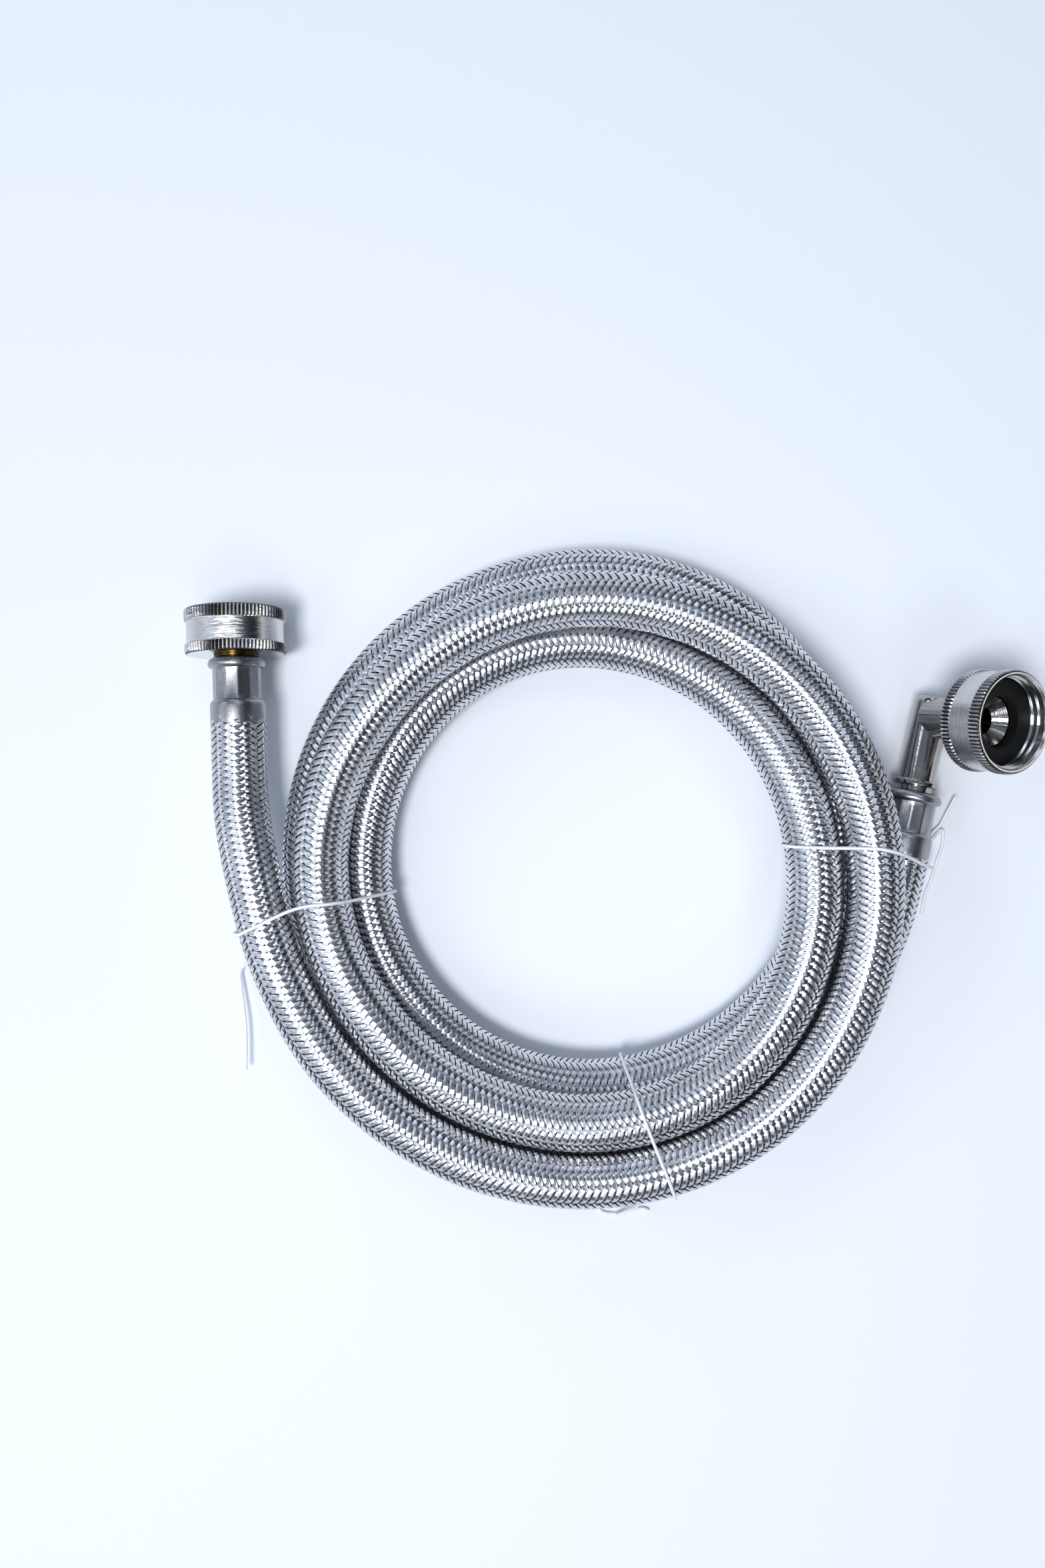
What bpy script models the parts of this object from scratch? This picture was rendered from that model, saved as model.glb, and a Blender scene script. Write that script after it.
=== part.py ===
"""Washing machine supply hose: a stainless braid over a rubber tube, wound in three and a half turns.

A straight swivel coupling ends the hose at the left and an elbow with a swivel coupling at the right.
Three wire ties hold the coil, which lies flat on the ground with +Z up. Sizes are in millimetres and
are scaled to metres as each mesh is made.
"""

import math

import bmesh
import bpy
from mathutils import Matrix, Vector

MM = 0.001
CLEARANCE = 0.3

# Hose
HOSE_RADIUS = 8.1
SLEEVE_WALL = 0.65
SLEEVE_SIDES = 12
TUBE_RADIUS = 6.95
TUBE_CRIMPED_RADIUS = 5.9
TUBE_BORE_RADIUS = 4.75
TUBE_SIDES = 8

# Coil: where its centre stands, and the radius and height of the hose's axis at every sixth of a turn
COIL_CENTRE = Vector((-4.97, 7.22, 0.0))
COIL_STEP = 18
COIL_FIRST_ANGLE = 198
COIL_LAST_ANGLE = 1422
SIXTH_OF_A_TURN = 60
COIL_START_ANGLE = 180
COIL_LAY = [
    (97.0, 22.2), (92.0, 25.0), (88.4, 26.2), (81.9, 28.0), (79.4, 26.3), (78.3, 24.8),
    (79.0, 25.3), (75.0, 26.1), (71.4, 27.9), (65.4, 23.7), (66.8, 13.7), (69.2, 10.0),
    (68.3, 10.1), (67.6, 9.7), (68.3, 9.6), (75.0, 9.5), (87.1, 9.7), (87.4, 9.5),
    (85.3, 9.5), (84.9, 9.5), (85.3, 9.5), (92.0, 9.5),
]

# Route outside the coil, from the coil's centre: out of the straight ferrule, and into the elbow's
STRAIGHT_MOUTH = Vector((-105.5, 42.8, 14.85))
STRAIGHT_LEAN = math.radians(-1.8)
TAIL_ROUTE = [
    STRAIGHT_MOUTH,
    Vector((-105.1, 30.7, 15.2)),
    Vector((-104.1, 17.5, 16.9)),
    Vector((-100.2, -1.3, 19.8)),
]
ELBOW_MOUTH = Vector((95.4, 3.0, 9.5))
ELBOW_LEAN = math.radians(12.0)
ELBOW_ROUTE = [Vector((90.8, -15.9, 9.5)), Vector((93.4, -6.3, 9.5)), ELBOW_MOUTH]

# Crimp ferrules, measured from the mouth that the hose goes into
FERRULE_WALL = 0.6
FERRULE_MOUTH_RADIUS = 8.15
FERRULE_CRIMP_RADIUS = 7.1
FERRULE_BEAD_RADIUS = 8.45
FERRULE_SHOULDER = 5.1
FERRULE_STEP = 7.2
FERRULE_BEAD_START = 16.6
FERRULE_LENGTH = 19.8
FERRULE_EYE_RADIUS = 5.3
CRIMP_FLATS = 12

# Barbed shanks of the tailpiece and the elbow, measured from the same mouth
SHANK_START = 2.5
SHANK_RADIUS = 4.05
SHANK_BORE_RADIUS = 3.0
BARB_PITCH = 4.0
BARB_DEPTH = 0.35
GROOVE_RADIUS = 4.9

# Coupling nuts, measured from the back face
NUT_TEETH = 82
NUT_THREAD_RADIUS = 13.0
NUT_WALL = 1.35
NUT_KNURL_HEIGHT = 0.5
NUT_BAND_RADIUS = NUT_THREAD_RADIUS + NUT_WALL
NUT_CREST_RADIUS = NUT_BAND_RADIUS + NUT_KNURL_HEIGHT
NUT_LENGTH = 13.5
NUT_REAR_KNURL = 3.1
NUT_FRONT_KNURL = 3.7
NUT_EYE_RADIUS = 6.6
NUT_BACK_WALL = 2.6
NUT_MOUTH_RADIUS = NUT_THREAD_RADIUS + 2 * CLEARANCE
NUT_MOUTH_CHAMFER = 0.9

# Flange, funnel and washer inside a nut, measured from the nut's back face
FLANGE_RADIUS = 11.4
FLANGE_BACK = 2.9
FLANGE_FRONT = 5.1
FUNNEL_MOUTH_RADIUS = 7.2
FUNNEL_THROAT_RADIUS = 4.1
FUNNEL_DEPTH = 3.1
WASHER_RADIUS = NUT_THREAD_RADIUS - 2 * CLEARANCE
WASHER_BORE_RADIUS = 7.5
WASHER_THICKNESS = 3.2

# Straight tailpiece
STRAIGHT_COLLAR_RADIUS = 6.7
STRAIGHT_COLLAR_BACK = FERRULE_LENGTH + CLEARANCE
STRAIGHT_COLLAR_THICKNESS = 0.3
STRAIGHT_NUT_BACK = STRAIGHT_COLLAR_BACK + STRAIGHT_COLLAR_THICKNESS + CLEARANCE
TAILPIECE_NECK_RADIUS = 6.0

# Elbow: the leg runs on past the nozzle's axis, and the nozzle is mitred on the side of the hose
ELBOW_COLLAR_RADIUS = 6.9
ELBOW_COLLAR_BACK = FERRULE_LENGTH + 1.7
ELBOW_COLLAR_THICKNESS = 1.5
LEG_RADIUS = 5.35
LEG_LENGTH = 19.8
LEG_OVERRUN = 6.3
LEG_ROUNDING = 2.2
NOZZLE_RADIUS = 6.2
NOZZLE_BACK = 0.8
NOZZLE_ROUNDING = 0.8
NOZZLE_MITRE = 0.7
NOZZLE_ELEVATION = math.radians(63)
NOZZLE_NUT_BACK = 17.5

# Wire ties
TIE_RADIUS = 0.5
TIE_SIDES = 6
TWIST_RADIUS = 0.65
TWIST_TURNS = 1.5
TWIST_STEPS = 6
HULL_STEPS = 16
BEND_START = 1.0
BEND_LENGTH = 23.0

ROUND_STEPS = 24
FLANGE_STEPS = 32


def clear_scene():
    for found in list(bpy.data.objects):
        bpy.data.objects.remove(found, do_unlink=True)


def make_material(name, colour, metallic, roughness):
    material = bpy.data.materials.new(name)
    material.use_nodes = True
    shader = material.node_tree.nodes["Principled BSDF"]
    shader.inputs["Base Color"].default_value = (*colour, 1.0)
    shader.inputs["Metallic"].default_value = metallic
    shader.inputs["Roughness"].default_value = roughness
    material.diffuse_color = (*colour, 1.0)
    return material


def add_object(name, bm, material, parent=None, offset=0.0):
    """Makes an object of a mesh built in millimetres, placed along its parent's own Z axis."""
    bmesh.ops.recalc_face_normals(bm, faces=bm.faces)
    if bm.calc_volume(signed=True) < 0:
        bmesh.ops.reverse_faces(bm, faces=bm.faces)
    bmesh.ops.scale(bm, vec=(MM, MM, MM), verts=bm.verts)
    mesh = bpy.data.meshes.new(name)
    bm.to_mesh(mesh)
    bm.free()
    mesh.shade_smooth()
    mesh.set_sharp_from_angle(angle=math.radians(32))
    mesh.materials.append(material)
    made = bpy.data.objects.new(name, mesh)
    bpy.context.scene.collection.objects.link(made)
    made.parent = parent
    made.location = (0.0, 0.0, offset * MM)
    return made


def add_empty(name, point, direction, parent=None):
    """An empty whose Z axis points along a direction, from which a coupling's pieces are placed."""
    empty = bpy.data.objects.new(name, None)
    bpy.context.scene.collection.objects.link(empty)
    empty.parent = parent
    empty.location = point * MM
    empty.rotation_euler = direction.to_track_quat("Z", "Y").to_euler()
    return empty


def make_cutter(cut):
    cut.hide_render = True
    cut.display_type = "WIRE"


def add_boolean(target, tool, operation):
    modifier = target.modifiers.new(operation.title(), "BOOLEAN")
    modifier.operation = operation
    modifier.solver = "EXACT"
    modifier.object = tool
    make_cutter(tool)


def ring(bm, radii, height):
    """A loop of vertices around Z, one for each radius."""
    turn = 2 * math.pi / len(radii)
    return [
        bm.verts.new((radius * math.cos(turn * i), radius * math.sin(turn * i), height))
        for i, radius in enumerate(radii)
    ]


def join_rings(bm, first, second):
    """Quads between two loops of the same number of vertices."""
    count = len(first)
    for i in range(count):
        j = (i + 1) % count
        bm.faces.new((first[i], first[j], second[j], second[i]))


def join_to_coarser(bm, fine, coarse):
    """Triangles between a loop and one of fewer vertices, which divides its number."""
    ratio = len(fine) // len(coarse)
    for i, corner in enumerate(coarse):
        following = coarse[(i + 1) % len(coarse)]
        for k in range(ratio):
            bm.faces.new((corner, fine[i * ratio + k], fine[(i * ratio + k + 1) % len(fine)]))
        bm.faces.new((corner, fine[(i * ratio + ratio) % len(fine)], following))


def turned(profile, steps):
    """A closed ring of revolution around Z from a closed profile of radius and height."""
    bm = bmesh.new()
    loops = [ring(bm, [radius] * steps, height) for radius, height in profile]
    for first, second in zip(loops, loops[1:] + loops[:1]):
        join_rings(bm, first, second)
    return bm


def turned_solid(profile, steps):
    """A solid of revolution around Z, closed by a flat disc at each end of its open profile."""
    bm = bmesh.new()
    loops = [ring(bm, [radius] * steps, height) for radius, height in profile]
    for first, second in zip(loops, loops[1:]):
        join_rings(bm, first, second)
    bm.faces.new(loops[0])
    bm.faces.new(loops[-1])
    return bm


def catmull_rom(before, start, end, after, part):
    """A smooth value between start and end, at a part from 0 to 1 of the way."""
    return 0.5 * (
        2 * start
        + (end - before) * part
        + (2 * before - 5 * start + 4 * end - after) * part**2
        + (3 * start - before - 3 * end + after) * part**3
    )


def coil_point(angle):
    """The hose's axis at an angle of the winding in degrees, counted through all the turns."""
    position = (angle - COIL_START_ANGLE) / SIXTH_OF_A_TURN
    index = min(int(position), len(COIL_LAY) - 2)
    part = position - index
    stations = [COIL_LAY[min(max(k, 0), len(COIL_LAY) - 1)] for k in range(index - 1, index + 3)]
    radius, height = (catmull_rom(*values, part) for values in zip(*stations))
    turn = math.radians(angle)
    return Vector((radius * math.cos(turn), radius * math.sin(turn), height))


def hose_route():
    """Points of the hose's axis from the straight ferrule's mouth to the elbow ferrule's."""
    coil = [coil_point(angle) for angle in range(COIL_FIRST_ANGLE, COIL_LAST_ANGLE + 1, COIL_STEP)]
    return [COIL_CENTRE + point for point in TAIL_ROUTE + coil + ELBOW_ROUTE]


def route_tangents(points):
    tangents = []
    for i in range(len(points)):
        before = points[max(i - 1, 0)]
        after = points[min(i + 1, len(points) - 1)]
        tangents.append((after - before).normalized())
    return tangents


def swept_loops(bm, points, radii, sides):
    """Loops of vertices across a route, each turned as little as possible from the one before."""
    tangents = route_tangents(points)
    side = tangents[0].cross(Vector((0.0, 0.0, 1.0))).normalized()
    loops = []
    for point, tangent, radius in zip(points, tangents, radii):
        side = (side - side.dot(tangent) * tangent).normalized()
        up = side.cross(tangent)
        turns = [2 * math.pi * k / sides for k in range(sides)]
        loops.append([bm.verts.new(point + radius * (math.cos(t) * side + math.sin(t) * up)) for t in turns])
    return loops


def hollow_sweep(points, outer_radii, inner_radii, sides):
    """A pipe along a route, open at both ends."""
    bm = bmesh.new()
    outer = swept_loops(bm, points, outer_radii, sides)
    inner = swept_loops(bm, points, inner_radii, sides)
    for wall in (outer, inner):
        for first, second in zip(wall, wall[1:]):
            join_rings(bm, first, second)
    join_rings(bm, outer[0], inner[0])
    join_rings(bm, outer[-1], inner[-1])
    return bm


def solid_sweep(points, radius, sides):
    """A round bar along a route, with flat ends."""
    bm = bmesh.new()
    loops = swept_loops(bm, points, [radius] * len(points), sides)
    for first, second in zip(loops, loops[1:]):
        join_rings(bm, first, second)
    bm.faces.new(loops[0])
    bm.faces.new(loops[-1])
    return bm


def lean_direction(lean):
    """The level direction towards the back of the coil, leaning to +X by an angle."""
    return Vector((math.sin(lean), math.cos(lean), 0.0))


def braid_sleeve(material):
    points = hose_route()
    tangents = route_tangents(points)
    points[0] = points[0] + tangents[0] * CLEARANCE
    points[-1] = points[-1] - tangents[-1] * CLEARANCE
    outer = [HOSE_RADIUS] * len(points)
    inner = [HOSE_RADIUS - SLEEVE_WALL] * len(points)
    add_object("braid_sleeve", hollow_sweep(points, outer, inner, SLEEVE_SIDES), material)


def inner_tube(material):
    """The tube runs on inside both ferrules, where the crimp makes it narrower."""
    crimped = [(FERRULE_LENGTH - 1.2, TUBE_CRIMPED_RADIUS), (FERRULE_STEP, TUBE_CRIMPED_RADIUS),
               (FERRULE_SHOULDER - 1.0, TUBE_RADIUS)]
    towards_nut = lean_direction(STRAIGHT_LEAN)
    towards_elbow = lean_direction(ELBOW_LEAN)
    route = hose_route()
    start = [route[0] + towards_nut * along for along, radius in crimped]
    end = [route[-1] + towards_elbow * along for along, radius in reversed(crimped)]
    outer = [radius for along, radius in crimped]
    outer = outer + [TUBE_RADIUS] * len(route) + outer[::-1]
    points = start + route + end
    inner = [TUBE_BORE_RADIUS] * len(points)
    add_object("inner_tube", hollow_sweep(points, outer, inner, TUBE_SIDES), material)


def crimped_ring(bm, radius, height):
    """A loop whose flats are pressed in between the ridges that the crimping jaws leave."""
    flat = radius * math.cos(math.pi / CRIMP_FLATS)
    return ring(bm, [radius, flat] * CRIMP_FLATS, height)


def ferrule(name, material, parent):
    """A pressed sleeve: a mouth over the braid, a crimped barrel, and a rolled bead around the eye."""
    bm = bmesh.new()
    steps = 2 * CRIMP_FLATS
    round_ring = [
        (FERRULE_MOUTH_RADIUS - 0.2, 0.0),
        (FERRULE_MOUTH_RADIUS, 0.2),
        (FERRULE_MOUTH_RADIUS, FERRULE_SHOULDER),
        (FERRULE_MOUTH_RADIUS - 0.2, FERRULE_SHOULDER + 1.1),
        (FERRULE_MOUTH_RADIUS - 0.65, FERRULE_SHOULDER + 1.8),
    ]
    outside = [ring(bm, [radius] * steps, height) for radius, height in round_ring]
    outside.append(crimped_ring(bm, FERRULE_CRIMP_RADIUS, FERRULE_STEP))
    outside.append(crimped_ring(bm, FERRULE_CRIMP_RADIUS, FERRULE_BEAD_START))
    bead = [
        (FERRULE_BEAD_RADIUS - 0.4, FERRULE_BEAD_START + 0.3),
        (FERRULE_BEAD_RADIUS, FERRULE_BEAD_START + 1.1),
        (FERRULE_BEAD_RADIUS - 0.1, FERRULE_BEAD_START + 1.9),
        (FERRULE_BEAD_RADIUS - 0.65, FERRULE_LENGTH - 0.5),
        (FERRULE_BEAD_RADIUS - 1.6, FERRULE_LENGTH),
        (FERRULE_EYE_RADIUS, FERRULE_LENGTH),
        (FERRULE_EYE_RADIUS, FERRULE_LENGTH - FERRULE_WALL),
    ]
    outside += [ring(bm, [radius] * steps, height) for radius, height in bead]
    inside = [
        crimped_ring(bm, FERRULE_CRIMP_RADIUS - FERRULE_WALL, FERRULE_LENGTH - FERRULE_WALL),
        crimped_ring(bm, FERRULE_CRIMP_RADIUS - FERRULE_WALL, FERRULE_STEP + 0.2),
        ring(bm, [FERRULE_MOUTH_RADIUS - FERRULE_WALL] * steps, FERRULE_SHOULDER),
        ring(bm, [FERRULE_MOUTH_RADIUS - FERRULE_WALL] * steps, 0.0),
    ]
    loops = outside + inside
    for first, second in zip(loops, loops[1:] + loops[:1]):
        join_rings(bm, first, second)
    add_object(name, bm, material, parent)


def barbed_shank():
    """The outside of a shank from its free end to the groove that the ferrule's eye grips."""
    profile = [(SHANK_RADIUS - BARB_DEPTH, SHANK_START)]
    count = int((FERRULE_LENGTH - SHANK_START) // BARB_PITCH)
    for k in range(count):
        foot = SHANK_START + k * BARB_PITCH
        profile.append((SHANK_RADIUS, foot + BARB_PITCH - 0.4))
        profile.append((SHANK_RADIUS - BARB_DEPTH, foot + BARB_PITCH))
    profile.append((SHANK_RADIUS - BARB_DEPTH, FERRULE_LENGTH - 0.9))
    profile.append((GROOVE_RADIUS, FERRULE_LENGTH - 0.9))
    return profile


def straight_tailpiece(material, parent):
    back = STRAIGHT_NUT_BACK
    collar_front = STRAIGHT_COLLAR_BACK + STRAIGHT_COLLAR_THICKNESS
    outside = barbed_shank() + [
        (GROOVE_RADIUS, STRAIGHT_COLLAR_BACK),
        (STRAIGHT_COLLAR_RADIUS, STRAIGHT_COLLAR_BACK),
        (STRAIGHT_COLLAR_RADIUS, collar_front),
        (TAILPIECE_NECK_RADIUS, collar_front),
        (TAILPIECE_NECK_RADIUS, back + FLANGE_BACK),
        (FLANGE_RADIUS, back + FLANGE_BACK),
        (FLANGE_RADIUS, back + FLANGE_FRONT),
    ]
    inside = [
        (FUNNEL_MOUTH_RADIUS, back + FLANGE_FRONT),
        (FUNNEL_THROAT_RADIUS, back + FLANGE_FRONT - FUNNEL_DEPTH),
        (SHANK_BORE_RADIUS, back + FLANGE_FRONT - FUNNEL_DEPTH - 1.5),
        (SHANK_BORE_RADIUS, SHANK_START),
    ]
    add_object("straight_tailpiece", turned(outside + inside, ROUND_STEPS), material, parent)


def rounded_end(radius, end, rounding):
    """Points that round a cylinder over to its flat end; a negative rounding is for a lower end."""
    reach = abs(rounding)
    turns = [math.pi / 6 * k for k in range(4)]
    return [(radius - reach * (1 - math.cos(t)), end - rounding * (1 - math.sin(t))) for t in turns]


def mitre(bm, hose_way):
    """Cuts the nozzle's back end off at 45 degrees on the side that the hose comes from."""
    way = hose_way + Vector((0.0, 0.0, 1.0))
    geometry = bm.verts[:] + bm.edges[:] + bm.faces[:]
    cut = bmesh.ops.bisect_plane(
        bm, geom=geometry, plane_co=hose_way * -NOZZLE_MITRE, plane_no=way.normalized(), clear_inner=True
    )
    rim = [part for part in cut["geom_cut"] if isinstance(part, bmesh.types.BMEdge)]
    bmesh.ops.edgeloop_fill(bm, edges=rim)


def elbow_body(material, parent, nozzle):
    """A leg and a nozzle joined at right angles, then bored through from both ends."""
    collar_front = ELBOW_COLLAR_BACK + ELBOW_COLLAR_THICKNESS
    leg_end = collar_front + LEG_LENGTH + LEG_OVERRUN
    leg = barbed_shank() + [
        (GROOVE_RADIUS, ELBOW_COLLAR_BACK),
        (ELBOW_COLLAR_RADIUS, ELBOW_COLLAR_BACK),
        (ELBOW_COLLAR_RADIUS, collar_front),
        (LEG_RADIUS, collar_front),
    ] + rounded_end(LEG_RADIUS, leg_end, LEG_ROUNDING)
    body = add_object("elbow_body", turned_solid(leg, ROUND_STEPS), material, parent)
    back = NOZZLE_NUT_BACK
    outside = rounded_end(NOZZLE_RADIUS, NOZZLE_BACK, -NOZZLE_ROUNDING)[::-1] + [
        (NOZZLE_RADIUS, back + FLANGE_BACK),
        (FLANGE_RADIUS, back + FLANGE_BACK),
        (FLANGE_RADIUS, back + FLANGE_FRONT),
    ]
    nozzle_solid = turned_solid(outside, ROUND_STEPS)
    mitre(nozzle_solid, nozzle.rotation_euler.to_matrix().inverted() @ lean_direction(ELBOW_LEAN))
    union = add_object("elbow_nozzle_union", nozzle_solid, material, nozzle)
    bore = [
        (FUNNEL_THROAT_RADIUS, 0.0),
        (FUNNEL_THROAT_RADIUS, back + FLANGE_FRONT - FUNNEL_DEPTH),
        (FUNNEL_MOUTH_RADIUS, back + FLANGE_FRONT),
        (FUNNEL_MOUTH_RADIUS, back + FLANGE_FRONT + 1.0),
    ]
    nozzle_bore = add_object("elbow_nozzle_bore", turned_solid(bore, ROUND_STEPS), material, nozzle)
    corner = collar_front + LEG_LENGTH
    leg_bore = [(SHANK_BORE_RADIUS, SHANK_START - 1.0), (SHANK_BORE_RADIUS, corner + 1.0)]
    leg_cut = add_object("elbow_leg_bore", turned_solid(leg_bore, ROUND_STEPS), material, parent)
    add_boolean(body, union, "UNION")
    add_boolean(body, nozzle_bore, "DIFFERENCE")
    add_boolean(body, leg_cut, "DIFFERENCE")


def knurled_band(bm, low, high):
    """Two loops of crests and valleys, joined; every second vertex of a loop is a valley."""
    loops = [ring(bm, [NUT_CREST_RADIUS, NUT_BAND_RADIUS] * NUT_TEETH, height) for height in (low, high)]
    join_rings(bm, *loops)
    return loops


def tooth_ends(bm, loop):
    for i in range(0, len(loop), 2):
        bm.faces.new((loop[i - 1], loop[i], loop[i + 1]))


def coupling_nut(name, material, parent, offset):
    """A swivel nut: two knurled bands with a turned band between, threaded bore, eye in the back."""
    bm = bmesh.new()
    rear = knurled_band(bm, 0.0, NUT_REAR_KNURL)
    front = knurled_band(bm, NUT_LENGTH - NUT_FRONT_KNURL, NUT_LENGTH)
    tooth_ends(bm, rear[1])
    tooth_ends(bm, front[0])
    join_rings(bm, rear[1][1::2], front[0][1::2])
    steps = NUT_TEETH // 2
    inside = [
        (NUT_MOUTH_RADIUS, NUT_LENGTH),
        (NUT_THREAD_RADIUS, NUT_LENGTH - NUT_MOUTH_CHAMFER),
        (NUT_THREAD_RADIUS, NUT_BACK_WALL),
        (NUT_EYE_RADIUS, NUT_BACK_WALL),
        (NUT_EYE_RADIUS, 0.0),
    ]
    loops = [ring(bm, [radius] * steps, height) for radius, height in inside]
    for first, second in zip(loops, loops[1:]):
        join_rings(bm, first, second)
    join_to_coarser(bm, front[1], loops[0])
    join_to_coarser(bm, rear[0], loops[-1])
    add_object(name, bm, material, parent, offset)


def washer(name, material, parent, nut_back):
    back = FLANGE_FRONT + CLEARANCE
    front = back + WASHER_THICKNESS
    profile = [
        (WASHER_RADIUS, back),
        (WASHER_RADIUS, front),
        (WASHER_BORE_RADIUS, front),
        (WASHER_BORE_RADIUS, back),
    ]
    add_object(name, turned(profile, FLANGE_STEPS), material, parent, nut_back)


def strayed(along, swerve):
    """How far sideways a tie's wire has gone from its plane at a distance out from its middle."""
    part = min(max((along - BEND_START) / BEND_LENGTH, 0.0), 1.0)
    return swerve * part**1.3


def route_crossings(route, point, outward, normal, swerve):
    """Where the route crosses a tie's upright sheet, with the direction that it crosses it in."""
    found = []
    for first, second in zip(route, route[1:]):
        before = (first - point).dot(normal) - strayed((first - point).dot(outward), swerve)
        after = (second - point).dot(normal) - strayed((second - point).dot(outward), swerve)
        if before * after < 0:
            crossing = first.lerp(second, before / (before - after))
            found.append((crossing, (second - first).normalized()))
    return found


def convex_outline(points):
    """The convex hull of points in a plane, anticlockwise."""
    points = sorted(set(points))

    def half(ordered):
        chain = []
        for x, y in ordered:
            while len(chain) > 1:
                (ax, ay), (bx, by) = chain[-2:]
                if (bx - ax) * (y - ay) - (by - ay) * (x - ax) > 0:
                    break
                chain.pop()
            chain.append((x, y))
        return chain[:-1]

    return half(points) + half(points[::-1])


def tie_loop(route, centre, outward, swerve):
    """The wire's way round the bundle in an upright sheet, from its foot on the outer side and back."""
    normal = Vector((-outward.y, outward.x, 0.0))
    reach = HOSE_RADIUS + CLEARANCE + TIE_RADIUS
    samples = []
    for crossing, direction in route_crossings(route, centre, outward, normal, swerve):
        along = (crossing - centre).dot(outward)
        if abs(along) > 6 * HOSE_RADIUS:
            continue
        stretch = 1 / abs(direction.dot(normal))
        for k in range(HULL_STEPS):
            turn = 2 * math.pi * k / HULL_STEPS
            samples.append((round(along + reach * stretch * math.cos(turn), 3),
                            round(crossing.z + reach * math.sin(turn), 3)))
    outline = convex_outline(samples)
    low = [i for i, (along, height) in enumerate(outline) if height < 4.0]
    foot = max(low, key=lambda i: outline[i][0])
    outline = outline[foot:] + outline[:foot] + [outline[foot]]
    loop = []
    for i, (along, height) in enumerate(outline):
        shift = TWIST_RADIUS * (2 * i / (len(outline) - 1) - 1) + strayed(along, swerve)
        loop.append(centre + outward * along + normal * shift + Vector((0.0, 0.0, height)))
    return loop


def twist_tie(name, material, route, tie):
    """A wire from one loose end through the twist, round the bundle, and back through the twist."""
    centre = COIL_CENTRE + Vector((*tie["centre"], 0.0))
    angle = math.radians(tie["plane"])
    outward = Vector((math.cos(angle), math.sin(angle), 0.0))
    loop = tie_loop(route, centre, outward, tie["swerve"])
    twist_start = (loop[0] + loop[-1]) / 2
    twist_end = COIL_CENTRE + Vector(tie["twist"])
    axis = (twist_end - twist_start).normalized()
    across = (loop[0] - twist_start).normalized()
    across = (across - across.dot(axis) * axis).normalized()
    upward = axis.cross(across)
    strands = []
    for side in (1, -1):
        strand = []
        for k in range(1, TWIST_STEPS + 1):
            part = k / TWIST_STEPS
            turn = 2 * math.pi * TWIST_TURNS * part
            swing = TWIST_RADIUS * side * (math.cos(turn) * across + math.sin(turn) * upward)
            lift = Vector((0.0, 0.0, TWIST_RADIUS * min(1.0, 2 * part)))
            strand.append(twist_start.lerp(twist_end, part) + swing + lift)
        strands.append(strand)
    ends = [[COIL_CENTRE + Vector(point) for point in end] for end in tie["ends"]]
    points = ends[0][::-1] + strands[0][::-1] + loop + strands[1] + ends[1]
    add_object(name, solid_sweep(points, TIE_RADIUS, TIE_SIDES), material)


# Each tie's middle and plane across the bundle and how far its outer side swerves from that plane,
# then its twist and loose ends, from the coil's centre
TIES = {
    "twist_tie_left": {
        "centre": (-79.0, -9.9), "plane": 186.0, "swerve": 6.9, "twist": (-105.5, -30.2, 1.0),
        "ends": [
            [(-107.6, -32.5, 1.6), (-108.2, -34.6, 2.2), (-107.8, -37.7, 2.8), (-107.0, -43.0, 3.6),
             (-106.1, -49.2, 4.2), (-105.8, -55.5, 4.6), (-105.8, -63.9, 4.8)],
            [(-107.2, -28.6, 1.6), (-107.6, -26.4, 1.2)],
        ],
    },
    "twist_tie_bottom": {
        "centre": (17.1, -76.5), "plane": 291.8, "swerve": 0.0, "twist": (17.5, -105.2, 1.0),
        "ends": [
            [(11.0, -105.0, 0.8), (5.2, -105.8, 0.8), (3.6, -107.6, 0.8), (4.3, -109.0, 0.8),
             (7.9, -110.0, 0.8), (13.5, -109.4, 0.9), (18.3, -108.4, 1.0), (19.4, -109.0, 1.0)],
            [(15.6, -107.1, 2.2), (13.5, -107.9, 2.8), (9.1, -109.8, 2.9)],
        ],
    },
    "twist_tie_right": {
        "centre": (79.0, 6.6), "plane": 0.0, "swerve": -6.7, "twist": (108.7, 9.3, 1.2),
        "ends": [
            [(109.8, 11.2, 2.0), (112.2, 16.0, 3.0), (114.3, 20.6, 4.0)],
            [(111.2, 10.4, 1.2), (111.5, 6.1, 0.9), (109.9, 0.9, 0.7), (107.9, -5.4, 0.7),
             (106.0, -10.6, 0.7), (105.0, -16.2, 0.7)],
        ],
    },
}


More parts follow.
